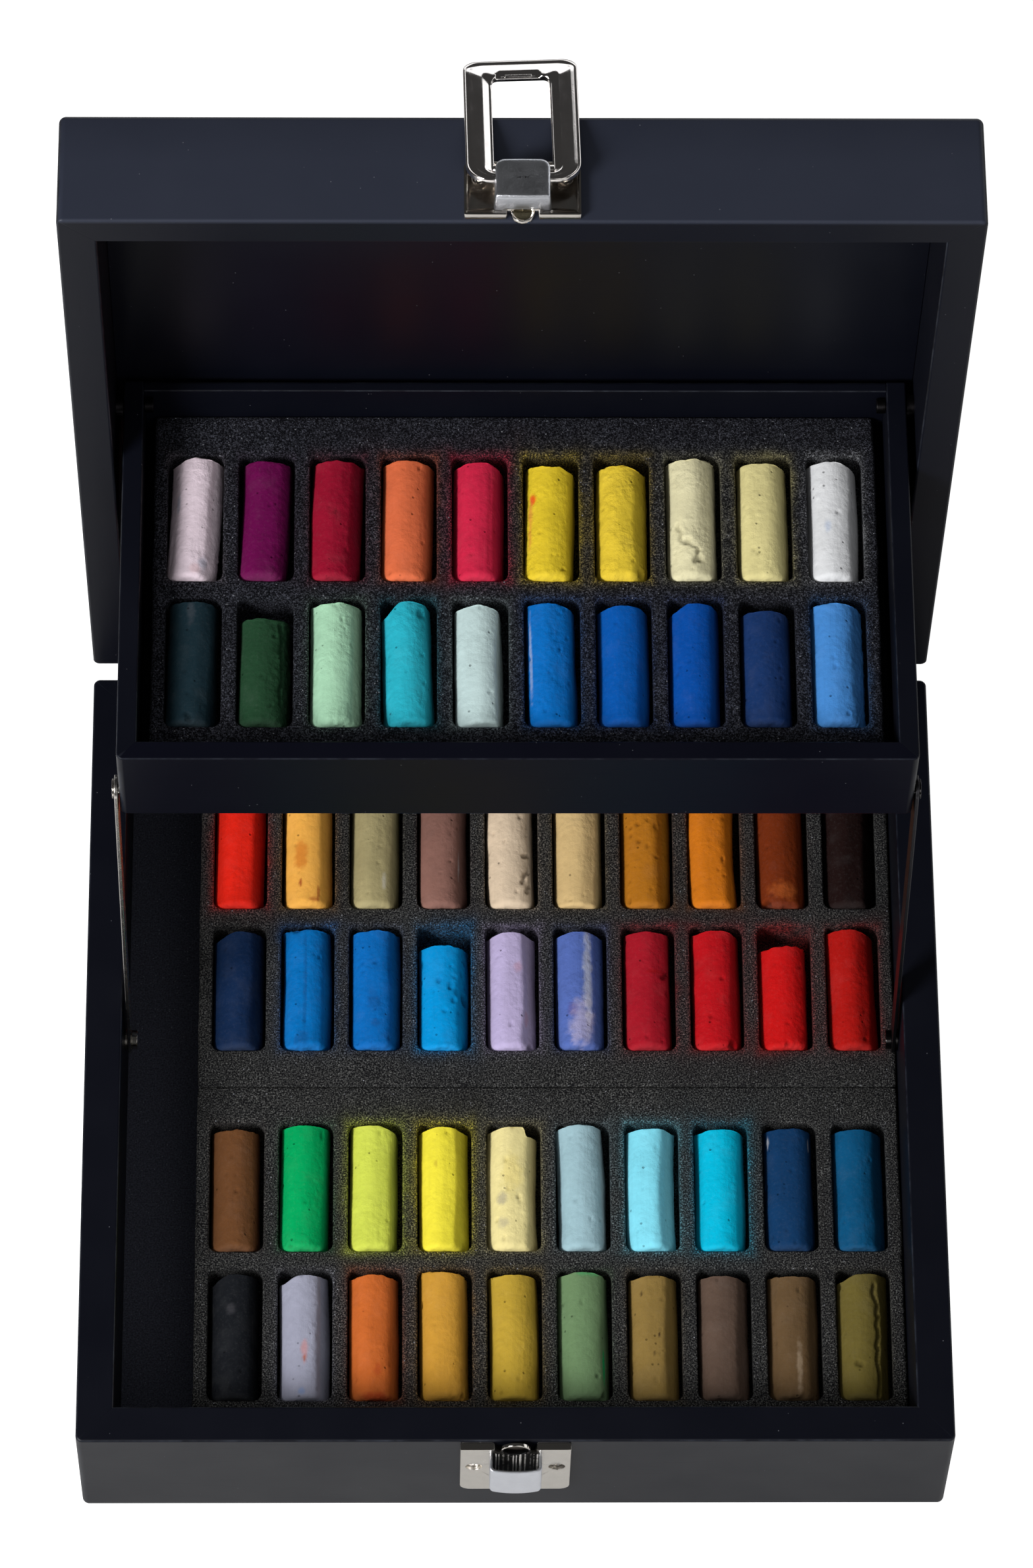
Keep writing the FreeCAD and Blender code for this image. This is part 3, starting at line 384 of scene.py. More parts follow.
def paint_grain_group():
    """Wood pores under matte paint: long fine streaks with short dark pits along them.
    Streaks are noise stretched along the board; pores are its sharp peaks."""
    tree, n, given, out = new_group(
        "paint_grain", [("Vector", "Vector", None), ("Along", "Vector", (60.0, 60.0, 60.0))],
        [("Height", "Float"), ("Pores", "Float"), ("Cloud", "Float")])
    stretched = n.add("ShaderNodeVectorMath", {"operation": "MULTIPLY"}, _0=given["Vector"],
                      _1=given["Along"]).outputs[0]
    streaks = n.noise(stretched, 1.0, 5.0, 0.6, 0.4)
    pores = n.ramp(n.noise(stretched, 2.6, 2.0, 0.5), 0.60, 0.70)
    orange_peel = n.noise(given["Vector"], 900.0, 2.0, 0.5)
    height = n.math("SUBTRACT", n.times(streaks, 0.5), n.times(pores, 0.35))
    n.feed(out, "Height", n.plus(height, n.times(orange_peel, 0.30)))
    n.feed(out, "Pores", pores)
    n.feed(out, "Cloud", n.noise(given["Vector"], 22.0, 3.0, 0.6))
    return tree


def dust_group():
    """Pale specks of chalk dust that settled here and there: small cells of a Voronoi picked at
    random, more of them where a slow noise is high."""
    tree, n, given, out = new_group(
        "dust", [("Vector", "Vector", None), ("Size", "Float", 1400.0), ("Amount", "Float", 0.5)],
        [("Specks", "Float")])
    distance, chance = n.cells(given["Vector"], given["Size"])
    patches = n.noise(given["Vector"], 45.0, 3.0, 0.6)
    limit = n.math("SUBTRACT", 1.0, n.times(given["Amount"], n.times(patches, 0.12)))
    picked = n.math("GREATER_THAN", chance["Red"], limit)
    round_spot = n.ramp(distance, 0.28, 0.12)
    n.feed(out, "Specks", n.times(picked, round_spot))
    return tree


def edge_wear_group():
    """Where paint is rubbed thin: the edge mark, broken into patches by a noise."""
    tree, n, given, out = new_group("edge_wear", [("Vector", "Vector", None), ("Edge", "Float", 0.0)],
                                    [("Rubbed", "Float")])
    patches = n.ramp(n.noise(given["Vector"], 130.0, 4.0, 0.65), 0.42, 0.72)
    n.feed(out, "Rubbed", n.times(n.ramp(given["Edge"], 0.35, 1.0), patches))
    return tree


def foam_cells_group():
    """Open-cell foam: dark cut cells between paler walls, with pale specks. Catching says how well a
    place holds dust."""
    tree, n, given, out = new_group(
        "foam_cells", [("Vector", "Vector", None), ("Dark", "Color", None), ("Light", "Color", None),
                       ("Speck Start", "Float", 0.95)],
        [("Color", "Color"), ("Catching", "Float"), ("Height", "Float")])
    place = given["Vector"]
    cell_distance, _ = n.cells(place, 2600.0)
    fine = n.noise(place, 2300.0, 3.0, 0.65)
    cloud = n.noise(place, 70.0, 4.0, 0.6)
    walls = n.times(n.ramp(fine, 0.44, 0.62), n.ramp(cell_distance, 0.15, 0.50))
    shade = n.mix(walls, given["Dark"], given["Light"])
    shade = n.mix(n.ramp(cloud, 0.3, 0.7, 0.0, 0.40), shade, given["Dark"])
    speck_distance, chance = n.cells(place, 1500.0)
    spark = n.times(n.ramp(chance["Green"], given["Speck Start"], 1.0), n.ramp(speck_distance, 0.34, 0.12))
    n.feed(out, "Color", n.mix(n.times(spark, 0.9), shade, srgb("b4b6be")))
    n.feed(out, "Catching", n.plus(n.times(walls, 0.65), n.times(n.ramp(cloud, 0.3, 0.7), 0.35)))
    n.feed(out, "Height", n.plus(walls, n.times(fine, 0.6)))
    return tree


def plating_group():
    """Plated sheet: satin grain as small uneven noise, slow clouds of tarnish and faint scratches."""
    tree, n, given, out = new_group(
        "plating", [("Vector", "Vector", None), ("Color", "Color", None), ("Tarnish", "Color", None),
                    ("Smoothest", "Float", 0.1), ("Roughest", "Float", 0.2), ("Grain", "Float", 1.0)],
        [("Color", "Color"), ("Roughness", "Float"), ("Height", "Float")])
    speck = n.noise(given["Vector"], 2600.0, 3.0, 0.7)
    cloud = n.noise(given["Vector"], 260.0, 4.0, 0.6)
    n.feed(out, "Color", n.mix(n.ramp(cloud, 0.35, 0.75, 0.0, 0.22), given["Color"], given["Tarnish"]))
    uneven = n.plus(n.times(speck, 0.5), n.times(cloud, 0.5))
    n.feed(out, "Roughness", n.ramp(uneven, 0.3, 0.7, given["Smoothest"], given["Roughest"]))
    scratches = n.noise(n.stretch(given["Vector"], (2400.0, 240.0, 2400.0)), 1.0, 2.0, 0.6)
    n.feed(out, "Height", n.plus(n.times(speck, given["Grain"]),
                                 n.times(scratches, n.times(given["Grain"], 0.25))))
    return tree


PAINT_GRAIN = paint_grain_group()
DUST = dust_group()
EDGE_WEAR = edge_wear_group()
FOAM_CELLS = foam_cells_group()
PLATING = plating_group()


RUBBED_COAT = srgb("3d424c")
# painted light: a paler coat for the lid front's face, which looks up to the light when the lid is open
LIT_FACE_COAT = srgb("2c303d")
SETTLED_DUST = srgb("8d8f96")


def painted_wood(name, along, color="090b15", lit_above=None, gloss=0.22):
    """Matte navy-black paint on close-grained wood, rubbed paler along its edges. Above the height
    lit_above, where one is given, the coat is painted paler as light on the face that looks up when the lid
    is open."""
    material, n, shader = new_material(name, Specular_IOR_Level=gloss)
    place = n.place()
    grain = n.group(PAINT_GRAIN, Vector=place, Along=along)
    rubbed = n.group(EDGE_WEAR, Vector=place, Edge=n.attribute("edge")["Fac"])["Rubbed"]
    shade = n.mix(n.ramp(grain["Cloud"], 0.3, 0.7), tuple(0.82 * part for part in srgb(color)), srgb(color))
    shade = n.mix(n.times(rubbed, 0.55), shade, RUBBED_COAT)
    if lit_above:
        height = n.part(place, "Z")
        # painted light: the coat painted paler, in faint patches, above that height
        patchy = n.times(n.ramp(grain["Cloud"], 0.2, 0.8, 0.85, 1.0), n.ramp(height, lit_above - 1.2 * MM, lit_above))
        shade = n.mix(patchy, shade, LIT_FACE_COAT)
    specks = n.group(DUST, Vector=place, Size=1500.0, Amount=0.05)["Specks"]
    shade = n.mix(n.times(specks, 0.35), shade, SETTLED_DUST)
    n.feed(shader, "Base Color", shade)
    rough = n.ramp(grain["Cloud"], 0.25, 0.75, 0.37, 0.48)
    n.feed(shader, "Roughness", n.plus(rough, n.times(grain["Pores"], 0.02)))
    n.feed(shader, "Normal", n.bump(grain["Height"], 0.10, 0.10 * MM))
    return material


def foam_material(name, dark, light, speck_share):
    """Foam with dust of the sticks' own colours round its pockets."""
    material, n, shader = new_material(name, Specular_IOR_Level=0.1, Roughness=0.95)
    foam = n.group(FOAM_CELLS, Vector=n.place(), Dark=opaque(srgb(dark)), Light=opaque(srgb(light)),
                   Speck_Start=1.0 - speck_share)
    dust = n.attribute("dust")
    cover = n.times(dust["Alpha"], n.ramp(foam["Catching"], 0.25, 0.70, 0.06, 1.0))
    n.feed(shader, "Base Color", n.mix(cover, foam["Color"], dust["Color"]))
    n.feed(shader, "Normal", n.bump(foam["Height"], 1.0, 0.3 * MM))
    return material


def chalk_material():
    """Pressed pigment: a powdery colour from the stick's own attribute, which carries painted light and
    shade, fine pits painted dark as shade, and drag marks.
    """
    material, n, shader = new_material("chalk", Specular_IOR_Level=0.04, Roughness=0.92)
    place = n.place()
    tint = n.attribute("pigment")["Color"]
    cloud = n.noise(place, 260.0, 5.0, 0.68)
    powder = n.noise(place, 1300.0, 4.0, 0.7)
    drag = n.noise(n.stretch(place, (1000.0, 60.0, 1000.0)), 1.0, 3.0, 0.6)
    crumbs = n.add("ShaderNodeTexVoronoi", {"feature": "SMOOTH_F1"}, Vector=place, Scale=620.0,
                   Smoothness=0.35).outputs["Distance"]
    shade = n.mix(n.ramp(cloud, 0.30, 0.72, 0.0, 0.06), tint, (1.0, 1.0, 1.0), "SOFT_LIGHT")
    shade = n.mix(n.ramp(powder, 0.52, 0.80, 0.0, 0.014), shade, (1.0, 1.0, 1.0))
    shade = n.mix(n.ramp(drag, 0.55, 0.80, 0.0, 0.08), shade, (0.0, 0.0, 0.0))
    hole_distance, chance = n.cells(place, 480.0)
    pit = n.times(n.ramp(hole_distance, 0.20, 0.09), n.math("GREATER_THAN", chance["Blue"], 0.90))
    # painted shade in the pits
    shade = n.mix(n.times(pit, 0.45), shade, (0.0, 0.0, 0.0))
    n.feed(shader, "Base Color", shade)
    height = n.plus(cloud, n.times(powder, 0.45))
    height = n.plus(height, n.times(drag, 0.30))
    height = n.math("SUBTRACT", height, n.times(crumbs, 0.40))
    height = n.math("SUBTRACT", height, n.times(pit, 0.8))
    coarse = n.attribute("pigment")["Alpha"]
    n.feed(shader, "Normal", n.bump(n.times(height, coarse), 1.0, 0.00055))
    return material


def nickel(name, color, roughness, grain, right=None):
    """Plated sheet. right is a darker tone painted on the case's right-hand side as a dark reflection."""
    material, n, shader = new_material(name, Metallic=1.0)
    place, tone = n.place(), srgb(color)
    plating = n.group(PLATING, Vector=place, Color=opaque(tone),
                      Tarnish=opaque([0.72 * part for part in tone]),
                      Smoothest=max(roughness - 0.06, 0.03), Roughest=roughness + 0.10, Grain=grain)
    shade = plating["Color"]
    if right:
        # painted dark reflection on the right-hand side
        shade = n.mix(n.ramp(n.part(place, "X"), -10 * MM, 10 * MM), shade, srgb(right))
    n.feed(shader, "Base Color", shade)
    n.feed(shader, "Roughness", plating["Roughness"])
    n.feed(shader, "Normal", n.bump(plating["Height"], 0.5, 0.06 * MM))
    return material


def fluted_nickel():
    """The ribbed spring inside the keeper: crests painted bright and grooves painted dark as reflection
    stripes, with tarnish in the grooves.
    """
    material, n, shader = new_material("fluted_nickel", Metallic=0.35, Roughness=0.40)
    crest = n.attribute("crest")["Fac"]
    # painted reflection stripes: crests bright, grooves dark, partly tarnish in the grooves
    tarnish_and_reflection = n.plus(crest, n.times(n.math("SUBTRACT", n.noise(n.place(), 900.0, 3.0, 0.6), 0.5), 0.5))
    n.feed(shader, "Base Color", n.mix(n.ramp(tarnish_and_reflection, 0.42, 0.70), srgb("1a1816"), srgb("f2eee8")))
    return material


def liner_material():
    """Dark lining cloth with pale flecks."""
    material, n, shader = new_material("lining", Specular_IOR_Level=0.2, Roughness=0.9)
    place = n.place()
    fleck = n.group(DUST, Vector=place, Size=1500.0, Amount=1.3)["Specks"]
    weave = n.noise(place, 2200.0, 2.0, 0.6)
    shade = n.mix(n.ramp(weave, 0.35, 0.7), srgb("282a33"), srgb("454753"))
    shade = n.mix(n.times(fleck, 0.7), shade, srgb("74767e"))
    n.feed(shader, "Base Color", shade)
    n.feed(shader, "Normal", n.bump(weave, 0.6, 0.0002))
    return material


GRAIN_ALONG = {"x": (28.0, 520.0, 520.0), "y": (520.0, 28.0, 520.0), "z": (520.0, 520.0, 28.0)}
PAINT = {axis: painted_wood(f"paint_along_{axis}", along) for axis, along in GRAIN_ALONG.items()}
LID_FACE = opened(node_box("lid_front_wall", closed)[0])[2]
# painted light on the lid front's face, which looks up when the lid is open
PAINT_LIT_FACE = painted_wood("paint_lit_face", GRAIN_ALONG["x"], lit_above=LID_FACE - 0.3 * MM)
TRAY_FRONT_PAINT = painted_wood("paint_tray_front", GRAIN_ALONG["x"], color="090a15", gloss=0.12)
BASE_FOAM = foam_material("base_foam", dark="0e0e11", light="787876", speck_share=0.05)
TRAY_FOAM = foam_material("tray_foam", dark="07070c", light="565863", speck_share=0.07)
CHALK = chalk_material()
BRIGHT_NICKEL = nickel("bright_nickel", "d8d2ca", roughness=0.10, grain=0.35)
SATIN_NICKEL = nickel("satin_nickel", "cfcac2", roughness=0.30, grain=1.0)
HOOD_NICKEL = nickel("hood_nickel", "dcdee4", roughness=0.36, grain=2.0)
# painted dark reflection: the stud's middle is dark-tinted metal
EYE_DARK_REFLECTION_NICKEL = nickel("stud_dark_reflection_nickel", "3a3430", roughness=0.16, grain=0.5)
BUTTON_NICKEL = nickel("button_nickel", "7e765e", roughness=0.25, grain=0.5)
FLUTED_NICKEL = fluted_nickel()
STRIP_NICKEL = nickel("strip_nickel", "d6d2cc", roughness=0.22, grain=0.8)
# painted dark reflection: a darker copy of the strip nickel for the right arm
DARK_REFLECTION_STRIP_NICKEL = nickel("dark_reflection_strip_nickel", "454447", roughness=0.36, grain=0.8)
# painted dark reflection on the right-hand pivot screws and washers
PIVOT_NICKEL = nickel("pivot_nickel", "d8d2ca", roughness=0.10, grain=0.35, right="4c4a4a")
REAR_PIVOT_NICKEL = nickel("rear_pivot_nickel", "2e2c2e", roughness=0.34, grain=0.5)
LOOP_NICKEL = nickel("loop_nickel", "f6f0ec", roughness=0.10, grain=0.35)
LINING = liner_material()


# ---------------------------------------------------------------- base and lid boards

SOFT_EDGE = 0.7 * MM
CORNER_ROUND = 1.8 * MM
LOWER_ROUND = 1.2 * MM
UPPER_ROUND = 1.8 * MM
SEAM_DEPTH = 0.015 * MM


def square_half(half, low, high, wall, radii, end_radius=0.7 * MM):
    """Rings from a board's middle to a square end at high X, drawn in there by a quarter round."""
    turn = np.linspace(math.pi / 2, 0, 5)
    places = np.concatenate([np.linspace(0, half - end_radius, 9)[:-1],
                             half - end_radius * (1 - np.cos(turn))])
    insets = np.concatenate([np.zeros(8), end_radius * (1 - np.sin(turn))])
    rings, marks = [], []
    for place, inset in zip(places, insets):
        section, edge = rounded_ring((0, low[2]), (wall, high[2]), radii, inset)
        rings.append(np.stack([np.full(len(section), place), low[1] + section[:, 0], section[:, 1]], -1))
        marks.append(edge)
    return np.array(rings), np.array(marks)


def mitred_board(low, high, wall, radii, square=0):
    """A front board of a frame, outer face at low Y, carried along X between 45 degree mitres.
    Each line along the board runs straight, then round the frame's corner on an arc whose radius is
    CORNER_ROUND less its depth, as far as the mitre plane. radii: outer-low, inner-low, inner-high,
    outer-high. square is 1 where the high X end is cut square instead, -1 where the low X end is."""
    half = high[0]
    section, edge = rounded_ring((0, low[2]), (wall, high[2]), radii)
    depth, level = section[:, 0], section[:, 1]
    radius = np.maximum(CORNER_ROUND - depth, 0)
    x = [np.full(len(depth), (half - wall - 1.0 * MM) * share) for share in np.linspace(0, 1, 9)[:-1]]
    y, mark = [depth] * len(x), [edge] * len(x)
    for angle in np.linspace(0, math.pi / 4, 6):
        share = angle / (math.pi / 4)
        x.append(np.where(radius > 0, half - CORNER_ROUND + radius * math.sin(angle),
                          half - depth - 0.4 * MM * (1 - share)))
        y.append(np.where(radius > 0, CORNER_ROUND - radius * math.cos(angle), depth))
        mark.append(np.maximum(edge, share * (depth < CORNER_ROUND) * (1 - depth / CORNER_ROUND)))
    x, y, z, mark = np.array(x), np.array(y), np.tile(level, (len(x), 1)), np.array(mark)
    y[-1] += np.sign(wall / 2 - y[-1]) * SEAM_DEPTH
    z[-1] += np.sign((low[2] + high[2]) / 2 - z[-1]) * SEAM_DEPTH
    mitred = (np.stack([x, low[1] + y, z], -1), mark)
    cut = square_half(half, low, high, wall, radii)
    right, right_mark = cut if square == 1 else mitred
    left, left_mark = cut if square == -1 else mitred
    rings = np.concatenate([left[:0:-1] * (-1, 1, 1), right])
    return stack(rings, {"edge": np.concatenate([left_mark[:0:-1], right_mark])})


def quarter_turned(points, turns):
    """Points turned about Z by quarter turns: 0 leaves a front board, 1 makes it the right one."""
    x, y, z = points[..., 0], points[..., 1], points[..., 2]
    for _ in range(turns):
        x, y = -y, x
    return np.stack([x, y, z], -1)


def wall_frame(owner, place, back, radii):
    """The four mitred walls of the base or the lid, each a piece of its own."""
    low_front, high_front = node_box(f"{owner}_front_wall", back)
    half_x, half_y = high_front[0], -low_front[1]
    wall = high_front[1] - low_front[1]
    bottom, top = low_front[2], high_front[2]
    for turns, side in enumerate(("front", "right", "rear", "left")):
        along, across = (half_x, half_y) if turns % 2 == 0 else (half_y, half_x)
        board = mitred_board((-along, -across, bottom), (along, -across + wall, top), wall, radii)
        skin = moved(board, lambda points, turns=turns: place(quarter_turned(points, turns)))
        grain = "x" if turns % 2 == 0 else ("y" if owner == "base" else "z")
        # the lid's front board gets the painted light of its up-facing face
        paint = PAINT_LIT_FACE if (owner, side) == ("lid", "front") else PAINT[grain]
        piece(f"{owner}_{side}_board", skin, paint, owner, [f"{owner}_{side}_wall"],
              f"{owner}_wood", sharp=35, even=True)


wall_frame("base", still, still, (LOWER_ROUND, SOFT_EDGE, SOFT_EDGE, SOFT_EDGE))
wall_frame("lid", opened, closed, (SOFT_EDGE, SOFT_EDGE, SOFT_EDGE, UPPER_ROUND))


def flat_panel(name, node, body, material, slot, place, back, radius):
    """A thin board with eased edges, in a node's place."""
    low, high = node_box(node, back)
    skin = bar(low, high, "x", (radius,) * 4, radius, middle=10)
    return piece(name, moved(skin, place), material, body, [node], slot, sharp=35, even=True)


flat_panel("bottom_board", "base_bottom_panel", "base", PAINT["x"], "base_wood", still, still, 0.3 * MM)
floor_lining = flat_panel("floor_lining", "floor_liner", "base", LINING, "liner", still, still, 0.2 * MM)
LINING_CUT = node_box("floor_liner")[1] - node_box("floor_liner")[0]
flat_panel("top_board", "lid_top_panel", "lid", PAINT["x"], "lid_wood", opened, closed, 0.3 * MM)


# ---------------------------------------------------------------- tray

def tray_boards():
    """Side boards meet the front board in mitres; the thinner rear board stands between them."""
    soft = 0.5 * MM
    low_front, high_front = node_box("tray_front_wall")
    low_side, high_side = node_box("tray_right_wall")
    wall, half_x = high_front[1] - low_front[1], high_side[0]
    half_y, middle_y = (high_side[1] - low_side[1]) / 2, (high_side[1] + low_side[1]) / 2
    bottom, top = low_side[2], high_side[2]
    for side, turns, along, across, square, low_round in (
            ("front", 0, half_x, half_y, 0, 1.6 * MM), ("right", 1, half_y, half_x, 1, 1.2 * MM),
            ("left", 3, half_y, half_x, -1, 1.2 * MM)):
        board = mitred_board((-along, -across, bottom), (along, -across + wall, top), wall,
                             (low_round, soft, soft, soft), square)
        skin = moved(board, lambda points, turns=turns: quarter_turned(points, turns) + (0, middle_y, 0))
        piece(f"tray_{side}_board", skin, TRAY_FRONT_PAINT if side == "front" else PAINT["y"], "tray",
              [f"tray_{side}_wall"], "tray_wood", sharp=35, even=True)
    low, high = node_box("tray_rear_wall")
    skin = bar(low, high, "x", (soft, 1.6 * MM, 1.2 * MM, soft), 0.1 * MM, middle=8)
    piece("tray_rear_board", skin, PAINT["x"], "tray", ["tray_rear_wall"], "tray_wood", sharp=35, even=True)
    low, high = node_box("tray_floor")
    piece("tray_floor_board", bar(low, high, "x", (0.2 * MM,) * 4, 0.2 * MM), PAINT["x"], "tray",
          ["tray_floor"], "tray_wood", sharp=35, even=True)


tray_boards()


# ---------------------------------------------------------------- uneven surfaces

def lattice_noise(points, seed):
    """Smooth noise from -1 to 1: random numbers on a unit lattice, blended by smooth steps in between."""
    cell = np.floor(points).astype(np.int64)
    part = points - cell
    part = part * part * (3 - 2 * part)
    total = np.zeros(points.shape[:-1])
    for corner in range(8):
        step = np.array([(corner >> axis) & 1 for axis in range(3)])
        at = (cell + step).astype(np.uint32)
        key = at[..., 0] * np.uint32(73856093) ^ at[..., 1] * np.uint32(19349663)
        key = key ^ at[..., 2] * np.uint32(83492791) ^ np.uint32(seed * 2654435761 % 4294967296)
        key = (key ^ (key >> np.uint32(15))) * np.uint32(2246822519)
        key = (key ^ (key >> np.uint32(13))) * np.uint32(3266489917)
        value = (key ^ (key >> np.uint32(16))).astype(float) / 2147483648.0 - 1
        total += value * np.prod(np.where(step, part, 1 - part), -1)
    return total


def roughness(points, size, seed, octaves=3, fall=0.5):
    """Layers of lattice noise, each half the size of the last, adding up to about -1 to 1."""
    total, weight, whole = 0.0, 1.0, 0.0
    for octave in range(octaves):
        total = total + weight * lattice_noise(points / size * 2 ** octave + 17.3 * octave, seed + octave)
        whole += weight
        weight *= fall
    return total / whole


def smooth(values, low, high):
    """0 up to low, 1 from high on, and an S-shaped way between."""
    share = np.clip((values - low) / (high - low), 0, 1)
    return share * share * (3 - 2 * share)


# ---------------------------------------------------------------- pastel sticks

PIGMENTS = {
    "mallow": "deccd6", "plum": "610b45", "crimson": "8d112a", "coral": "d06640", "carmine": "c52443",
    "lemon": "dbbe2d", "canary": "dbbd37", "cream": "dad3ab", "primrose": "d3c88c", "white": "d6d7d9",
    "petrol": "192b33", "forest": "203e29", "mint": "9dc8a8", "turquoise": "27a3b6", "celadon": "b5cac9",
    "cerulean": "0a65b3", "cobalt": "0850a1", "ultramarine": "084799", "navy": "17305d",
    "cornflower": "4382c6", "scarlet": "e02416", "apricot": "f8b350", "khaki": "a79b70",
    "mauve brown": "866056", "sand": "d7c1a6", "straw": "cdaf7a", "ochre": "ad6c1c", "saffron": "ca7119",
    "chestnut": "6d2b10", "umber": "1e1110", "prussian": "122646", "azure": "0768b0", "sky": "0b63af",
    "cyan": "058ccf", "lilac": "b3a6cb", "violet": "5167ab", "madder": "9e1725", "cherry": "b3131b",
    "vermilion": "bd1415", "brick": "a71612", "sepia": "623f25", "viridian": "039b56",
    "chartreuse": "c3cd4e", "citron": "e4d63c", "ivory": "e0d293", "mist": "96b5be",
    "ice": "7cd1e4", "aqua": "04abcc", "indigo": "11345a", "teal": "0c4b72", "charcoal": "17191d",
    "lavender": "9293a4", "terracotta": "ba5f2a", "gold": "bc8a33", "old gold": "af9133",
    "sage": "66815b", "olive brown": "826a39", "taupe": "57463c", "bistre": "5e4931", "olive": "62572a",
    "blue grey": "8e98ac", "rust": "9a4a20", "orange": "d97a28", "grey": "77747a", "deep red": "98100e",
}


@dataclass
class Stick:
    """How one stick is worn. Lengths are in millimetres; far is the end away from the box's front."""
    pigment: str
    length: float = 35.8
    lean: float = 0.0            # degrees, the far end to the right
    bow: float = 0.0             # how far the middle stands to the right
    shift: float = 0.0           # how far the stick lies to the right in its pocket
    left: float = 0.3            # how much the far end is worn down at its left
    right: float = 0.3           # and at its right
    crumble: float = 0.25        # how craggy the ends are
    near_edge: float = 1.5       # rounding of the near end
    lumps: float = 0.22
    grit: float = 0.08
    rough_side: float = 0.0      # extra grit on the right side, on the left if negative
    lines: float = 0.0           # drag marks along the stick
    facet: float = 0.90          # a flat on the right side, as a part of the radius
    pits: int = 6
    pit_size: float = 0.6
    spots: tuple = ()            # (pigment, along, turn, length, width, strength)
    cracks: tuple = ()           # (along, turn, along, turn)
    chips: tuple = ()            # (along, turn, size)
    notch: float = 0.0           # a step broken out of the far end's right corner
    dust: float = 0.2            # how much of it lies round the pocket


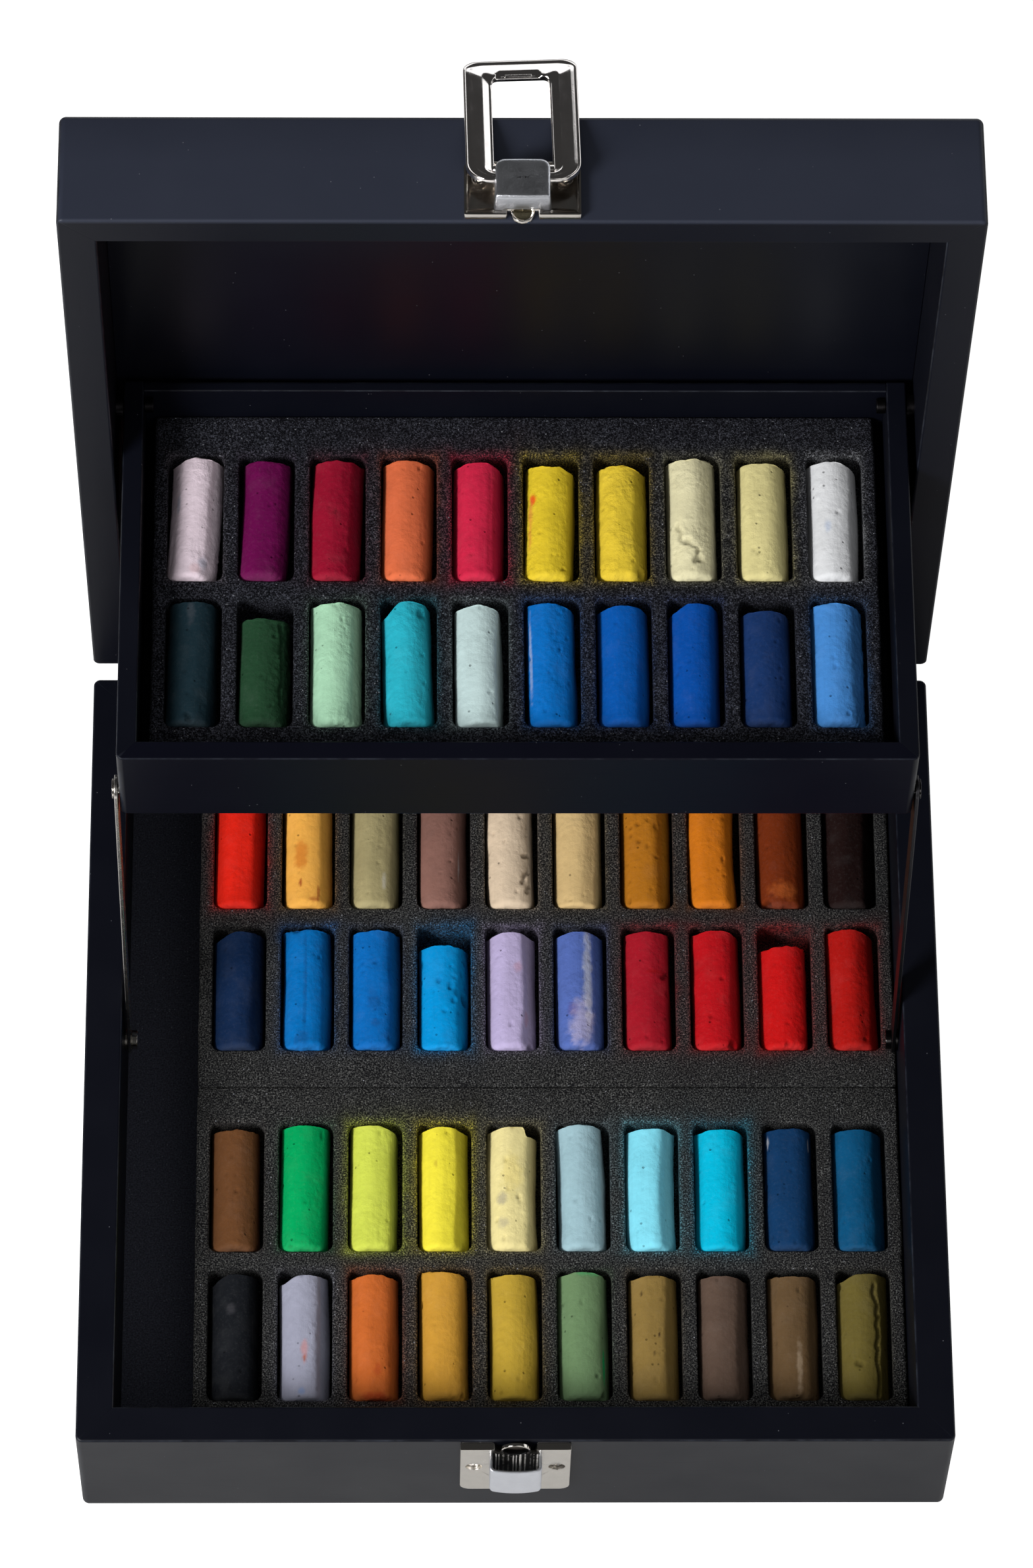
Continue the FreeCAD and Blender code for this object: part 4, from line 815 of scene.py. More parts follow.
ROWS = {
    "tray_rear_sticks": (
        Stick("mallow", 36.6, 3.0, 0.2, left=1.6, lumps=0.32, grit=0.15, rough_side=0.12, dust=0.08,
              spots=(("blue grey", 0.25, -0.8, 3, 1.2, 0.6), ("blue grey", -0.75, 0.5, 3, 2, 0.5),
                     ("coral", -0.85, 0.2, 2, 2, 0.15))),
        Stick("plum", 35.6, 2.6, 0.3, shift=-0.2, rough_side=0.12, near_edge=2.0, dust=0.08,
              chips=((-0.55, 1.2, 1.3), (0.5, 1.3, 0.9))),
        Stick("crimson", 36.0, 1.9, -0.3, lines=0.05, pits=10, crumble=0.35, dust=0.25),
        Stick("coral", 36.0, 1.2, left=0.4, right=0.7, dust=0.35),
        Stick("carmine", 35.4, 0.6, lines=0.13, left=0.8, right=1.6, facet=0.86, dust=0.8),
        Stick("lemon", 34.4, 1.6, left=-0.2, right=1.9, crumble=0.4, rough_side=-0.16, near_edge=1.8,
              dust=0.55, spots=(("scarlet", 0.4, -0.8, 2.2, 1.3, 0.8), ("coral", 0.15, -0.9, 6, 1.2, 0.5),
                     ("coral", -0.25, -0.9, 5, 1.0, 0.4))),
        Stick("canary", 34.6, 0.2, shift=0.2, right=1.3, lumps=0.36, grit=0.18, pits=12, crumble=0.6,
              near_edge=2.2, dust=0.35, chips=((-0.85, 0.9, 1.8),)),
        Stick("cream", 36.6, -0.2, crumble=0.5, lumps=0.28, grit=0.12, near_edge=1.8, dust=0.25, pits=9,
              cracks=((-0.12, -0.62, -0.38, -0.45), (-0.38, -0.45, -0.5, 0.1), (-0.55, 0.25, -0.75, 0.05)),
              chips=((-0.42, -0.25, 1.3), (-0.68, 0.2, 1.4))),
        Stick("primrose", 35.4, right=0.8, lumps=0.3, dust=0.45),
        Stick("white", 35.8, 0.4, 0.2, shift=-0.4, left=0.2, right=2.0, lumps=0.14, dust=0.3,
              spots=(("cornflower", -0.15, -0.25, 2.5, 1.2, 0.25),))),
    "tray_front_sticks": (
        Stick("petrol", 36.6, 1.0, pits=5, facet=0.88, dust=0.0, spots=(("grey", 0.75, -0.1, 4, 1.4, 0.12),),
              cracks=((-0.85, -0.1, -0.98, 0.0),)),
        Stick("forest", 32.0, 1.0, crumble=0.6, grit=0.12, rough_side=0.3, dust=0.03, near_edge=1.7,
              cracks=((0.8, 0.7, 0.1, 0.85), (0.1, 0.85, -0.6, 0.75))),
        Stick("mint", 36.4, 0.2, crumble=0.55, grit=0.16, lumps=0.26, pits=12, near_edge=1.9, dust=0.15,
              spots=(("forest", -0.1, -1.2, 20, 0.9, 0.4),)),
        Stick("turquoise", 36.6, -2.0, left=4.2, right=0.9, crumble=0.35, grit=0.13, pits=12, lumps=0.3,
              chips=((0.75, 0.6, 1.2),)),
        Stick("celadon", 35.6, -0.6, left=0.8, right=1.4, facet=0.8, near_edge=0.9, pits=8, rough_side=0.05),
        Stick("cerulean", 36.2, -1.0, left=0.0, right=1.5, pits=24, grit=0.12, dust=0.3,
              spots=(("white", 0.1, -0.9, 16, 0.8, 0.3),)),
        Stick("cobalt", 35.6, 0.1, 0.25, left=1.0, right=0.9, grit=0.05, dust=0.25),
        Stick("ultramarine", 36.2, 0.2, left=2.6, right=0.4, grit=0.05, facet=0.85, dust=0.15),
        Stick("navy", 34.0, pits=26, right=0.8, dust=0.05),
        Stick("cornflower", 36.4, -0.4, shift=-0.2, crumble=0.4, rough_side=0.18, right=1.0, near_edge=1.8,
              dust=0.25)),
    "rear_insert_rear_sticks": (
        Stick("scarlet", 35.8, 0.8, dust=0.55),
        Stick("apricot", 36.4, -0.4, grit=0.05, spots=(("orange", -0.15, -0.3, 6, 2.6, 0.7),
                     ("deep red", -0.62, -0.3, 1.6, 0.6, 0.8), ("deep red", -0.78, 0.45, 3.0, 0.6, 0.6),
                     ("deep red", -0.9, 0.3, 1.0, 2.2, 0.5))),
        Stick("khaki", 36.2, 0.6, lines=0.04, dust=0.1, spots=(("white", -0.6, 0.4, 3, 1, 0.3),)),
        Stick("mauve brown", 36.0, 0.0, -0.3, dust=0.1, spots=(("white", -0.3, 0.8, 5, 0.5, 0.3),)),
        Stick("sand", 36.4, -0.8, -0.3, lumps=0.35, pits=14, dust=0.3,
              cracks=((-0.35, 0.9, -0.6, 0.5), (-0.15, 0.6, -0.1, 0.95), (-0.6, 0.95, -0.75, 0.7))),
        Stick("straw", 35.8, 0.2, near_edge=1.0, dust=0.25),
        Stick("ochre", 35.8, 0.3, pits=22, pit_size=0.8),
        Stick("saffron", 35.8, -1.2, -0.7, pits=14),
        Stick("chestnut", 35.8, -0.6, dust=0.15, crumble=0.5,
              spots=(("terracotta", -0.75, 0.1, 3.4, 6, 0.45),), chips=((-0.98, -0.8, 2.2),)),
        Stick("umber", 35.8, 0.3, dust=0.0)),
    "rear_insert_front_sticks": (
        Stick("prussian", 35.8, 0.1, left=2.4, right=0.1, facet=0.92, dust=0.0),
        Stick("azure", 36.6, 0.3, 0.3, lumps=0.4, crumble=0.6, lines=0.07, dust=0.6,
              spots=(("navy", -0.85, -0.2, 3, 3, 0.35), ("navy", 0.1, -0.1, 24, 0.5, 0.35)),
              chips=((0.95, -0.5, 1.6),)),
        Stick("sky", 36.2, 0.0, 0.2, crumble=0.4, pits=16, dust=0.15,
              spots=(("navy", -0.25, -0.1, 4, 3, 0.3), ("navy", -0.6, 0.0, 1.6, 1.6, 0.35))),
        Stick("cyan", 31.6, 0.3, 0.2, pits=16, pit_size=0.95, crumble=0.4, near_edge=1.0, dust=0.85,
              chips=((0.0, 1.15, 1.6), (0.7, 1.2, 1.4)), spots=(("indigo", 0.1, 0.1, 6, 4, 0.12),)),
        Stick("lilac", 35.8, -0.4, left=1.3, right=1.3, facet=0.86, dust=0.55, chips=((-0.95, 1.0, 2.0),),
              spots=(("coral", 0.35, 0.3, 2, 2, 0.2), ("coral", -0.5, 0.7, 3, 1.5, 0.2))),
        Stick("violet", 35.8, -0.5, left=1.0, right=1.0, lumps=0.3, grit=0.12, near_edge=1.8, dust=0.25,
              spots=(("white", 0.15, 0.35, 20, 1.8, 0.45), ("mallow", -0.6, 0.1, 9, 5, 0.35),
                     ("plum", -0.35, -0.3, 3, 2, 0.25))),
        Stick("madder", 35.8, -0.3, dust=0.6, chips=((-0.05, 1.0, 1.2),), cracks=((0.3, 1.0, 0.2, 0.7),),
              spots=(("deep red", 0.27, 0.3, 0.8, 3.6, 0.5),)),
        Stick("cherry", 36.2, -0.4, left=0.8, right=1.0, dust=0.4, chips=((-0.96, 0.8, 2.2),)),
        Stick("vermilion", 31.6, -0.2, left=1.0, right=0.6, crumble=0.5, rough_side=0.1, dust=0.65,
              chips=((-0.95, 0.1, 1.2),)),
        Stick("brick", 36.4, -1.3, left=0.2, right=1.6, pits=9, dust=0.5)),
    "front_insert_rear_sticks": (
        Stick("sepia", 35.8, -0.3, crumble=0.4, pits=7, dust=0.1),
        Stick("viridian", 37.0, 1.0, dust=0.12, crumble=0.3, chips=((-0.97, -0.6, 1.1),)),
        Stick("chartreuse", 37.0, 0.6, left=-0.1, right=1.9, facet=0.84, dust=0.9),
        Stick("citron", 36.6, -0.3, left=1.0, right=1.2, facet=0.85, dust=0.95,
              spots=(("old gold", 0.35, -0.3, 1.6, 0.6, 0.5),)),
        Stick("ivory", 36.6, 0.2, -0.4, left=0.9, right=0.1, notch=2.6, lumps=0.3, pits=12, dust=0.3,
              spots=(("grey", -0.2, -0.4, 3, 2.2, 0.5), ("grey", -0.6, -0.35, 2.6, 2.6, 0.4),
                     ("lemon", 0.2, 0.0, 8, 4, 0.2))),
        Stick("mist", 37.2, -1.3, 0.4, shift=-0.3, left=0.9, right=0.8, lumps=0.34),
        Stick("ice", 36.0, 0.0, -0.5, left=0.5, right=0.5, facet=0.86, dust=0.6),
        Stick("aqua", 35.8, 0.2, 0.15, left=0.6, right=0.5, dust=0.75, near_edge=1.2),
        Stick("indigo", 36.0, -0.2, pits=14, dust=0.0,
              spots=(("white", 0.75, -1.0, 2.4, 0.6, 0.5), ("white", 0.7, 1.0, 2.0, 0.6, 0.4))),
        Stick("teal", 35.6, -0.4, left=0.2, right=0.6, facet=0.88, near_edge=1.0, dust=0.05)),
    "front_insert_front_sticks": (
        Stick("charcoal", 36.4, -0.6, left=2.8, right=0.2, dust=0.0,
              spots=(("grey", 0.4, -0.1, 2, 2, 0.12),)),
        Stick("lavender", 36.2, -0.6, 0.2, left=2.4, right=0.2, facet=0.85, dust=0.3,
              spots=(("coral", -0.25, 0.0, 4.0, 1.3, 0.35), ("rust", -0.38, 0.0, 1.2, 0.6, 0.8),
                     ("cornflower", -0.9, -0.1, 1.2, 1.2, 0.3))),
        Stick("terracotta", 36.2, -0.2, left=0.6, right=0.6, dust=0.35, crumble=0.4, near_edge=1.9,
              spots=(("deep red", -0.55, 0.15, 3, 1.2, 0.3), ("deep red", -1.0, 0.2, 2, 6, 0.5))),
        Stick("gold", 37.2, -0.5, left=-0.3, right=1.2, crumble=0.6, near_edge=1.9, dust=0.35,
              chips=((-0.97, 0.9, 1.6),)),
        Stick("old gold", 36.2, -0.6, 0.4, right=0.5, lumps=0.3, near_edge=1.0, dust=0.3),
        Stick("sage", 37.0, -0.4, left=0.6, right=1.0, dust=0.15, chips=((-0.96, 1.0, 1.8),),
              spots=(("viridian", -0.5, 0.95, 7, 1.1, 0.9), ("viridian", 0.9, 0.2, 1.2, 5, 0.4))),
        Stick("olive brown", 36.0, -0.3, right=0.5, left=0.8, pits=9, facet=0.86,
              spots=(("umber", 0.0, 0.2, 0.9, 0.4, 0.9), ("umber", -0.3, 0.0, 0.7, 0.5, 0.6),
                     ("umber", 0.66, -0.5, 0.7, 0.5, 0.7))),
        Stick("taupe", 35.8, -0.2, right=0.9, rough_side=0.08, dust=0.0),
        Stick("bistre", 36.0, 0.2, lines=0.08, crumble=0.5, near_edge=1.9, dust=0.05,
              spots=(("sand", -0.5, 0.2, 9, 1.0, 0.22),)),
        Stick("olive", 36.4, 0.4, left=2.2, right=0.1, lumps=0.28, dust=0.12, cracks=((0.75, 0.42, 0.3, 0.62),
                      (0.3, 0.62, -0.2, 0.58), (-0.2, 0.58, -0.98, 0.68), (-0.45, -0.35, -0.5, -0.1)))),
}
PITCH = 18.7 * MM
ROW_PITCH = 43.0 * MM
STICK_RADIUS = 6.8               # lengths up to FAR_EDGE are in millimetres
UNDER_SKIN = 0.97 * STICK_RADIUS
SETTLE = 0.25
NEAR_END = -18.7
FAR_EDGE = 0.7
AROUND, ALONG, END_RINGS, EDGE_RINGS = 88, 70, 5, 5


def stick_profile(length, near, far):
    """Distance along and radius of a stick's rings: near face, its rounded edge, barrel, far edge and
    face. Each edge is a quarter circle. Returns places, radii and the way the surface leans along."""
    turn = np.linspace(0, math.pi / 2, EDGE_RINGS + 1)

    def end(edge):
        face = np.linspace(0.04, 1, END_RINGS + 1)[:-1] * (STICK_RADIUS - edge)
        return (np.concatenate([np.zeros(END_RINGS), edge * (1 - np.cos(turn))]),
                np.concatenate([face, STICK_RADIUS - edge + edge * np.sin(turn)]),
                np.concatenate([np.ones(END_RINGS), np.cos(turn)]))

    near_place, near_radius, near_lean = end(near)
    far_place, far_radius, far_lean = end(far)
    barrel = np.linspace(near, length - far, ALONG + 1)[1:-1]
    full = np.full(ALONG - 1, STICK_RADIUS)
    return (np.concatenate([near_place, barrel, length - far_place[::-1]]),
            np.concatenate([near_radius, full, far_radius[::-1]]),
            np.concatenate([-near_lean, np.zeros(ALONG - 1), far_lean[::-1]]))


def lower_of(first, second, soft):
    """The smaller of two values, with the corner between them rounded over about soft."""
    return -soft * np.logaddexp(-first / soft, -second / soft)


def barrel_section(stick, along, angle, drift, seed, rng):
    """How far a stick's surface lies from its axis: a little oval, swelling slowly, with three flats."""
    around = np.stack([along * 0 + 3 * np.cos(angle), along + 0 * angle, along * 0 + 3 * np.sin(angle)], -1)
    swell = roughness(around + drift, 16.0, seed + 7, 2)
    section = STICK_RADIUS * (1 + 0.020 * np.cos(2 * angle + rng.uniform(0, 6)) + 0.03 * swell)
    flats = [(1.18 + rng.uniform(-0.2, 0.2), stick.facet),
             (-1.25 + rng.uniform(-0.3, 0.3), rng.uniform(0.93, 1.0)),
             (rng.uniform(-0.6, 0.6), rng.uniform(0.96, 1.03))]
    for turn, share in flats:
        turn = turn + 0.10 * along / stick.length + 0.05 * np.sin(along / 5 + rng.uniform(0, 6))
        limit = share * STICK_RADIUS / np.maximum(np.cos(angle - turn), 0.08)
        section = lower_of(section, limit, 0.22)
    return section


def on_barrel(along, turn, radius):
    """The point at a place along a stick, a turn from straight up and a radius from its axis."""
    return np.array([math.sin(turn) * radius, along, math.cos(turn) * radius])


def damage(stick, points, lumps, grit, seed, rng):
    """How deep pits, chips and cracks go at each point."""
    half = stick.length / 2
    sunk = np.zeros(lumps.shape)
    for _ in range(stick.pits):
        along, turn = rng.uniform(-0.95, 0.95), rng.uniform(-1.3, 1.3)
        size, depth = stick.pit_size * rng.uniform(0.5, 1.2), rng.uniform(0.2, 0.55)
        away = (points - on_barrel(along * half, turn, UNDER_SKIN)) * (1, rng.uniform(0.5, 1.2), 1)
        gap = np.linalg.norm(away, axis=-1) + 0.3 * grit
        sunk += depth * (1 - smooth(gap, 0.35 * size, size))
    for along, turn, size in stick.chips:
        away = points - on_barrel(along * half, turn, STICK_RADIUS + 0.2)
        gap = np.linalg.norm(away, axis=-1) + 0.7 * lumps + 0.3 * grit
        sunk += 0.6 * size * (1 - smooth(gap, 0.6 * size, 1.1 * size))
    for start, start_turn, end, end_turn in stick.cracks:
        for share in np.linspace(0, 1, 16):
            turn = start_turn + (end_turn - start_turn) * share + 0.05 * math.sin(share * 9.0 + seed)
            along = (start + (end - start) * share) * half
            gap = np.linalg.norm(points - on_barrel(along, turn, UNDER_SKIN), axis=-1)
            sunk = np.maximum(sunk, 0.75 * (1 - smooth(gap, 0.25, 0.8)))
    return sunk


def far_end_cut(stick, points, crag):
    """Points with the far end cut off by a craggy surface that slants down at its sides and top."""
    x, y, z = points[..., 0], points[..., 1], points[..., 2]
    half = stick.length / 2
    y = y + 0.9 * smooth(y, half - 7.0, half)
    end = half + 0.45 - 1.5 * np.clip(z / STICK_RADIUS, 0, 1)
    end = end - stick.left * smooth(-x, 0.3, 6.3) ** 1.4 - stick.right * smooth(x, 0.3, 6.3) ** 1.4
    end = end - stick.crumble * 1.3 * (0.4 + crag) - stick.notch * smooth(x + 0.3 * crag, 3.0, 3.9)
    return x, lower_of(y, end, 0.16), z


def laid_in_pocket(stick, x, y, z, centre, rng):
    """Points bowed, leaned and set in the pocket about centre."""
    middle = 1 - (2 * y / stick.length) ** 2
    x = x + stick.bow * middle
    z = z + rng.uniform(-0.1, 0.1) * middle
    swing, dip = -math.radians(stick.lean), math.radians(rng.uniform(-0.5, 0.5))
    x, y = x * math.cos(swing) - y * math.sin(swing), x * math.sin(swing) + y * math.cos(swing)
    y, z = y * math.cos(dip) - z * math.sin(dip), y * math.sin(dip) + z * math.cos(dip)
    shift = (stick.shift - SETTLE, NEAR_END + stick.length / 2, rng.uniform(-0.1, 0.1) - SETTLE)
    return np.stack([x, y, z], -1) + centre / MM + shift


def stick_color(stick, points, spread, shade, leans, seed):
    """Each point's colour: the pigment with painted light and shade from its relief, a little dusty, with
    spots of other pigments on it.
    """
    color = np.array(srgb(PIGMENTS[stick.pigment])) * np.clip(shade, 0, 2)[..., None]
    dusty = 0.012 * np.abs(leans)[:, None] + 0.008 * smooth(roughness(spread, 4.0, seed + 80), 0.0, 0.7)
    color = color * (1 - dusty[..., None]) + 0.8 * dusty[..., None]
    turned_by = np.arctan2(points[..., 0], points[..., 2])
    for number, (pigment, place, turn, tall, wide, strength) in enumerate(stick.spots):
        away = np.hypot((points[..., 1] - place * stick.length / 2) / tall,
                        (turned_by - turn) * STICK_RADIUS / wide)
        away = away + 0.45 * roughness(spread, 1.6, seed + 90 + number, 3, 0.7)
        mask = strength * (1 - smooth(away, 0.35, 1.0))[..., None]
        color = color + mask * (np.array(srgb(PIGMENTS[pigment])) - color)
    return np.clip(color, 0, 1)


def stick_skin(stick, centre, seed):
    """One pastel: a barrel x = r sin a, z = r cos a about an axis along Y, in millimetres. Noise, pits,
    chips and cracks push it in and out along its normals before its far end is cut and it is laid."""
    rng = np.random.default_rng(seed)
    places, radii, leans = stick_profile(stick.length, stick.near_edge, FAR_EDGE)
    angle = np.arange(AROUND) * math.tau / AROUND
    radial = np.stack([np.sin(angle), np.zeros(AROUND), np.cos(angle)], -1)
    along = (places - stick.length / 2)[:, None]
    drift = rng.uniform(-500, 500, 3)
    radius = radii[:, None] / STICK_RADIUS * barrel_section(stick, along, angle, drift, seed, rng)
    points = radius[..., None] * radial + along[..., None] * (0, 1, 0)
    tilt = np.sqrt(1 - leans ** 2)
    normals = tilt[:, None, None] * radial + leans[:, None, None] * (0, 1, 0)
    spread = points + drift
    lumps = roughness(spread, 7.0, seed, 3)
    grit = roughness(spread, 1.3, seed + 40, 3, 0.7)
    patchy = smooth(roughness(spread, 6.0, seed + 45, 2), -0.4, 0.5)
    side = smooth(np.sign(stick.rough_side) * points[..., 0] / STICK_RADIUS, 0.1, 0.8)
    crag = roughness(spread * (1, 0.3, 1), 2.6, seed + 70, 3, 0.6)
    gritty = stick.grit * (0.35 + patchy) + 1.6 * abs(stick.rough_side) * side
    push = 0.6 * stick.lumps * lumps + grit * gritty
    if stick.lines:
        drag = roughness(radial * STICK_RADIUS + drift, 0.9, seed + 60, 2, 0.7)
        push = push + stick.lines * drag * tilt[:, None]
    push = push + np.abs(leans)[:, None] * (stick.crumble * crag + points[..., 0] * rng.uniform(-0.03, 0.03))
    near_ends = smooth(np.abs(along), stick.length / 2 - 4.5, stick.length / 2 - 0.5)
    push = push + near_ends * stick.crumble * 0.5 * grit
    sunk = damage(stick, points, lumps, grit, seed, rng)
    points = points + (push - sunk)[..., None] * normals
    settled = laid_in_pocket(stick, *far_end_cut(stick, points, crag), centre, rng)
    # painted light and shade from the relief, carried in the pigment attribute: raised lumps and grit
    # lighter, pits, chips and cracks darker
    shade = 1 + 0.09 * lumps + 0.07 * grit - 0.45 * np.clip(sunk, 0, 1)
    color = stick_color(stick, points, spread, shade, leans, seed)
    coarse = np.clip(0.22 + 2.6 * stick.grit * (0.4 + patchy) + 2.0 * abs(stick.rough_side) * side, 0.2, 1.0)
    return stack(settled * MM, {"pigment": np.concatenate([color, coarse[..., None]], -1)})


def stick_centres(row):
    """The middles of a row's ten pockets."""
    low, high = node_box(row)
    middle = (low + high) / 2
    return [middle + (step * PITCH, 0, 0) for step in np.arange(10) - 4.5]


for row_number, (row, sticks) in enumerate(ROWS.items()):
    skins = [stick_skin(stick, centre, 100 * row_number + 7 * place + 11)
             for place, (stick, centre) in enumerate(zip(sticks, stick_centres(row)))]
    body = "tray" if row.startswith("tray") else "base"
    piece(f"pastels_{row.removesuffix('_sticks')}", joined(skins), CHALK, body, [row], row)


# ---------------------------------------------------------------- foam inserts

SIDE_STEPS, CORNER_STEPS = 22, 5
POCKET_HALF = np.array([7.35, 18.9]) * MM
POCKET_ROUND = 2.5 * MM
POCKET_DEPTH = 11.0 * MM
FOAM_EDGE = 1.0 * MM
RIM = 0.55 * MM
SIDE_WANDER = 0.35 * MM
TOP_SAG = 0.18 * MM


def pocket_outline(half, radius):
    """A rounded rectangle about the origin, going round from the low-low corner: each side has
    SIDE_STEPS equal steps and each corner CORNER_STEPS."""
    turn = np.linspace(0, math.pi / 2, CORNER_STEPS + 1)
    share = np.linspace(0, 1, SIDE_STEPS + 1)[1:-1, None]
    corners = ((-1, -1), (1, -1), (1, 1), (-1, 1))
    arcs = [arc(np.array(corner) * (half - radius), radius, math.pi + number * math.pi / 2 + turn)
            for number, corner in enumerate(corners)]
    return with_sides(arcs, share)


def cell_outline(low, high):
    """The rectangle round one pocket with as many points as pocket_outline, its corners in the middle
    of each corner's steps."""
    count = SIDE_STEPS + CORNER_STEPS
    share = (np.arange(count) / count)[:, None]
    corners = np.array([(low[0], low[1]), (high[0], low[1]), (high[0], high[1]), (low[0], high[1])])
    ring = np.concatenate([corners[k] + share * (corners[(k + 1) % 4] - corners[k]) for k in range(4)])
    return np.roll(ring, CORNER_STEPS // 2, 0)


def pocket_skin(outer, centre, top):
    """One pocket in its cell, outer: rings from the cell's border over the softened rim, down the wall
    and in over the floor."""
    edge = pocket_outline(POCKET_HALF + RIM, POCKET_ROUND + RIM) + centre
    rings = [at_height(outer + share * (edge - outer), top) for share in np.linspace(0, 1, 7)]
    for angle in np.linspace(0, math.pi / 2, 5)[1:]:
        inset = RIM * math.sin(angle)
        outline = pocket_outline(POCKET_HALF + RIM - inset, POCKET_ROUND + RIM - inset) + centre
        rings.append(at_height(outline, top - RIM * (1 - math.cos(angle))))
    wall = pocket_outline(POCKET_HALF, POCKET_ROUND) + centre
    rings += [at_height(wall, top - depth) for depth in np.linspace(RIM, POCKET_DEPTH, 8)[1:]]
    rings += [at_height(pocket_outline(POCKET_HALF * shrink, POCKET_ROUND * shrink) + centre,
                        top - POCKET_DEPTH) for shrink in (0.7, 0.35, 0.03)]
    return open_stack(rings)


def skirt_skin(x_cuts, y_cuts, top, height):
    """The block's rounded upper edge, its sides and its underside, as rings outside its cells."""
    last_x, last_y = len(x_cuts) - 1, len(y_cuts) - 1
    front = [(x, y_cuts[0]) for x in x_cuts[:-1]]
    right = [(x_cuts[last_x], y) for y in y_cuts[:-1]]
    rear = [(x, y_cuts[last_y]) for x in x_cuts[:0:-1]]
    left = [(x_cuts[0], y) for y in y_cuts[:0:-1]]
    corners = np.array(front + right + rear + left)
    count = SIDE_STEPS + CORNER_STEPS
    share = (np.arange(count) / count)[:, None]
    border = np.concatenate([start + share * (end - start)
                             for start, end in zip(corners, np.roll(corners, -1, 0))])
    near = 1e-9
    away = ((border > (x_cuts[last_x] - near, y_cuts[last_y] - near)) * 1.0
            - (border < (x_cuts[0] + near, y_cuts[0] + near)))
    away = away / np.maximum(np.linalg.norm(away, axis=1, keepdims=True), 1)
    rings = [at_height(border + away * FOAM_EDGE * math.sin(angle), top - FOAM_EDGE * (1 - math.cos(angle)))
             for angle in np.linspace(0, math.pi / 2, 5)]
    rings += [at_height(border + away * FOAM_EDGE, top - depth)
              for depth in np.linspace(FOAM_EDGE, height, 6)[1:]]
    skin = open_stack(rings)
    return Skin(skin.points, [faces[:, ::-1] for faces in skin.faces])


def welded(skin):
    """The skin with points at the same place made one."""
    _, first, where = np.unique(np.round(skin.points / 1e-7).astype(np.int64), axis=0,
                                return_index=True, return_inverse=True)
    return Skin(skin.points[first], [where.reshape(-1)[faces] for faces in skin.faces])


def pocket_dust(points, columns, lines, rows, seed):
    """Colour of the dust at each point, from the sticks whose pockets are near, and how much there is."""
    total = np.zeros(len(points))
    mixed = np.zeros((len(points), 3))
    for row, y in enumerate(lines):
        for column, x in enumerate(columns):
            stick = rows[row][column]
            beside = np.maximum(np.abs(points[:, :2] - (x, y)) - POCKET_HALF, 0)
            gap = np.hypot(beside[:, 0], beside[:, 1]) / MM
            wander = 1 + 1.1 * roughness(points / MM, 5.0, seed + 3 * column + 50 * row, 3, 0.6)
            weight = stick.dust * (1.25 * np.exp(-gap / 0.8) + 0.10 * np.exp(-gap / 3.0))
            weight = weight * np.clip(wander, 0.1, 2)
            total += weight
            mixed += weight[:, None] * np.array(srgb(PIGMENTS[stick.pigment]))
    return np.column_stack([mixed / np.maximum(total, 1e-6)[:, None], 1 - np.exp(-total)])


def foam_skin(low, high, rows, seed, rear):
    """A foam block with a pocket for every stick, cut a little unevenly. rear is how much further back
    the block reaches."""
    centre = (low + high) / 2
    high = high + (0, rear, 0)
    span, top = high - low, high[2]
    columns = centre[0] + (np.arange(10) - 4.5) * PITCH
    lines = centre[1] + np.array([-0.5, 0.5]) * ROW_PITCH
    x_cuts = np.concatenate([[low[0] + FOAM_EDGE], (columns[:-1] + columns[1:]) / 2, [high[0] - FOAM_EDGE]])
    y_cuts = np.array([low[1] + FOAM_EDGE, centre[1], high[1] - FOAM_EDGE])
    skins = [pocket_skin(cell_outline((x_cuts[column], y_cuts[row]), (x_cuts[column + 1], y_cuts[row + 1])),
                         (x, y), top) for row, y in enumerate(lines) for column, x in enumerate(columns)]
    skin = outward(welded(joined(skins + [skirt_skin(x_cuts, y_cuts, top, span[2])])))
    points = skin.points
    skin.marks = {"dust": pocket_dust(points, columns, lines, rows, seed)}
    shift = roughness(points / MM, 9.0, seed, 3)
    near_side = smooth(np.maximum(np.abs(points[:, 0] - centre[0]) / (span[0] / 2) * 100,
                                  np.abs(points[:, 1] - centre[1]) / (span[1] / 2) * 60 + 40), 96.5, 99.9)
    points[:, 0] -= np.sign(points[:, 0] - centre[0]) * near_side * SIDE_WANDER * (1 + shift)
    on_top = points[:, 2] > top - 1.5 * MM
    points[:, 2] -= on_top * TOP_SAG * (1 + roughness(points / MM, 14.0, seed + 5, 3))
    return skin


INSERTS = {
    "tray_foam_insert": ("tray", ("tray_front_sticks", "tray_rear_sticks"), TRAY_FOAM),
    "rear_foam_insert": ("base", ("rear_insert_front_sticks", "rear_insert_rear_sticks"), BASE_FOAM),
    "front_foam_insert": ("base", ("front_insert_front_sticks", "front_insert_rear_sticks"), BASE_FOAM),
}
for insert_number, (node, (body, rows, foam)) in enumerate(INSERTS.items()):
    low, high = node_box(node)
    skin = foam_skin(low, high, [ROWS[row] for row in rows], 300 + 20 * insert_number,
                     1.25 * MM if body == "tray" else 0.0)
    insert = piece(node.replace("_insert", ""), skin, foam, body, [node], "foam")


# ---------------------------------------------------------------- latch

FRONT = node_box("base_front_wall")[0][1]
MIDDLE = (node_box("base_latch_plate")[0][0] + node_box("base_latch_plate")[1][0]) / 2
SCREW_OUT = 10.9 * MM
PLATE_TOP = 2.1 * MM
LOOP_LENGTH = 39.6 * MM


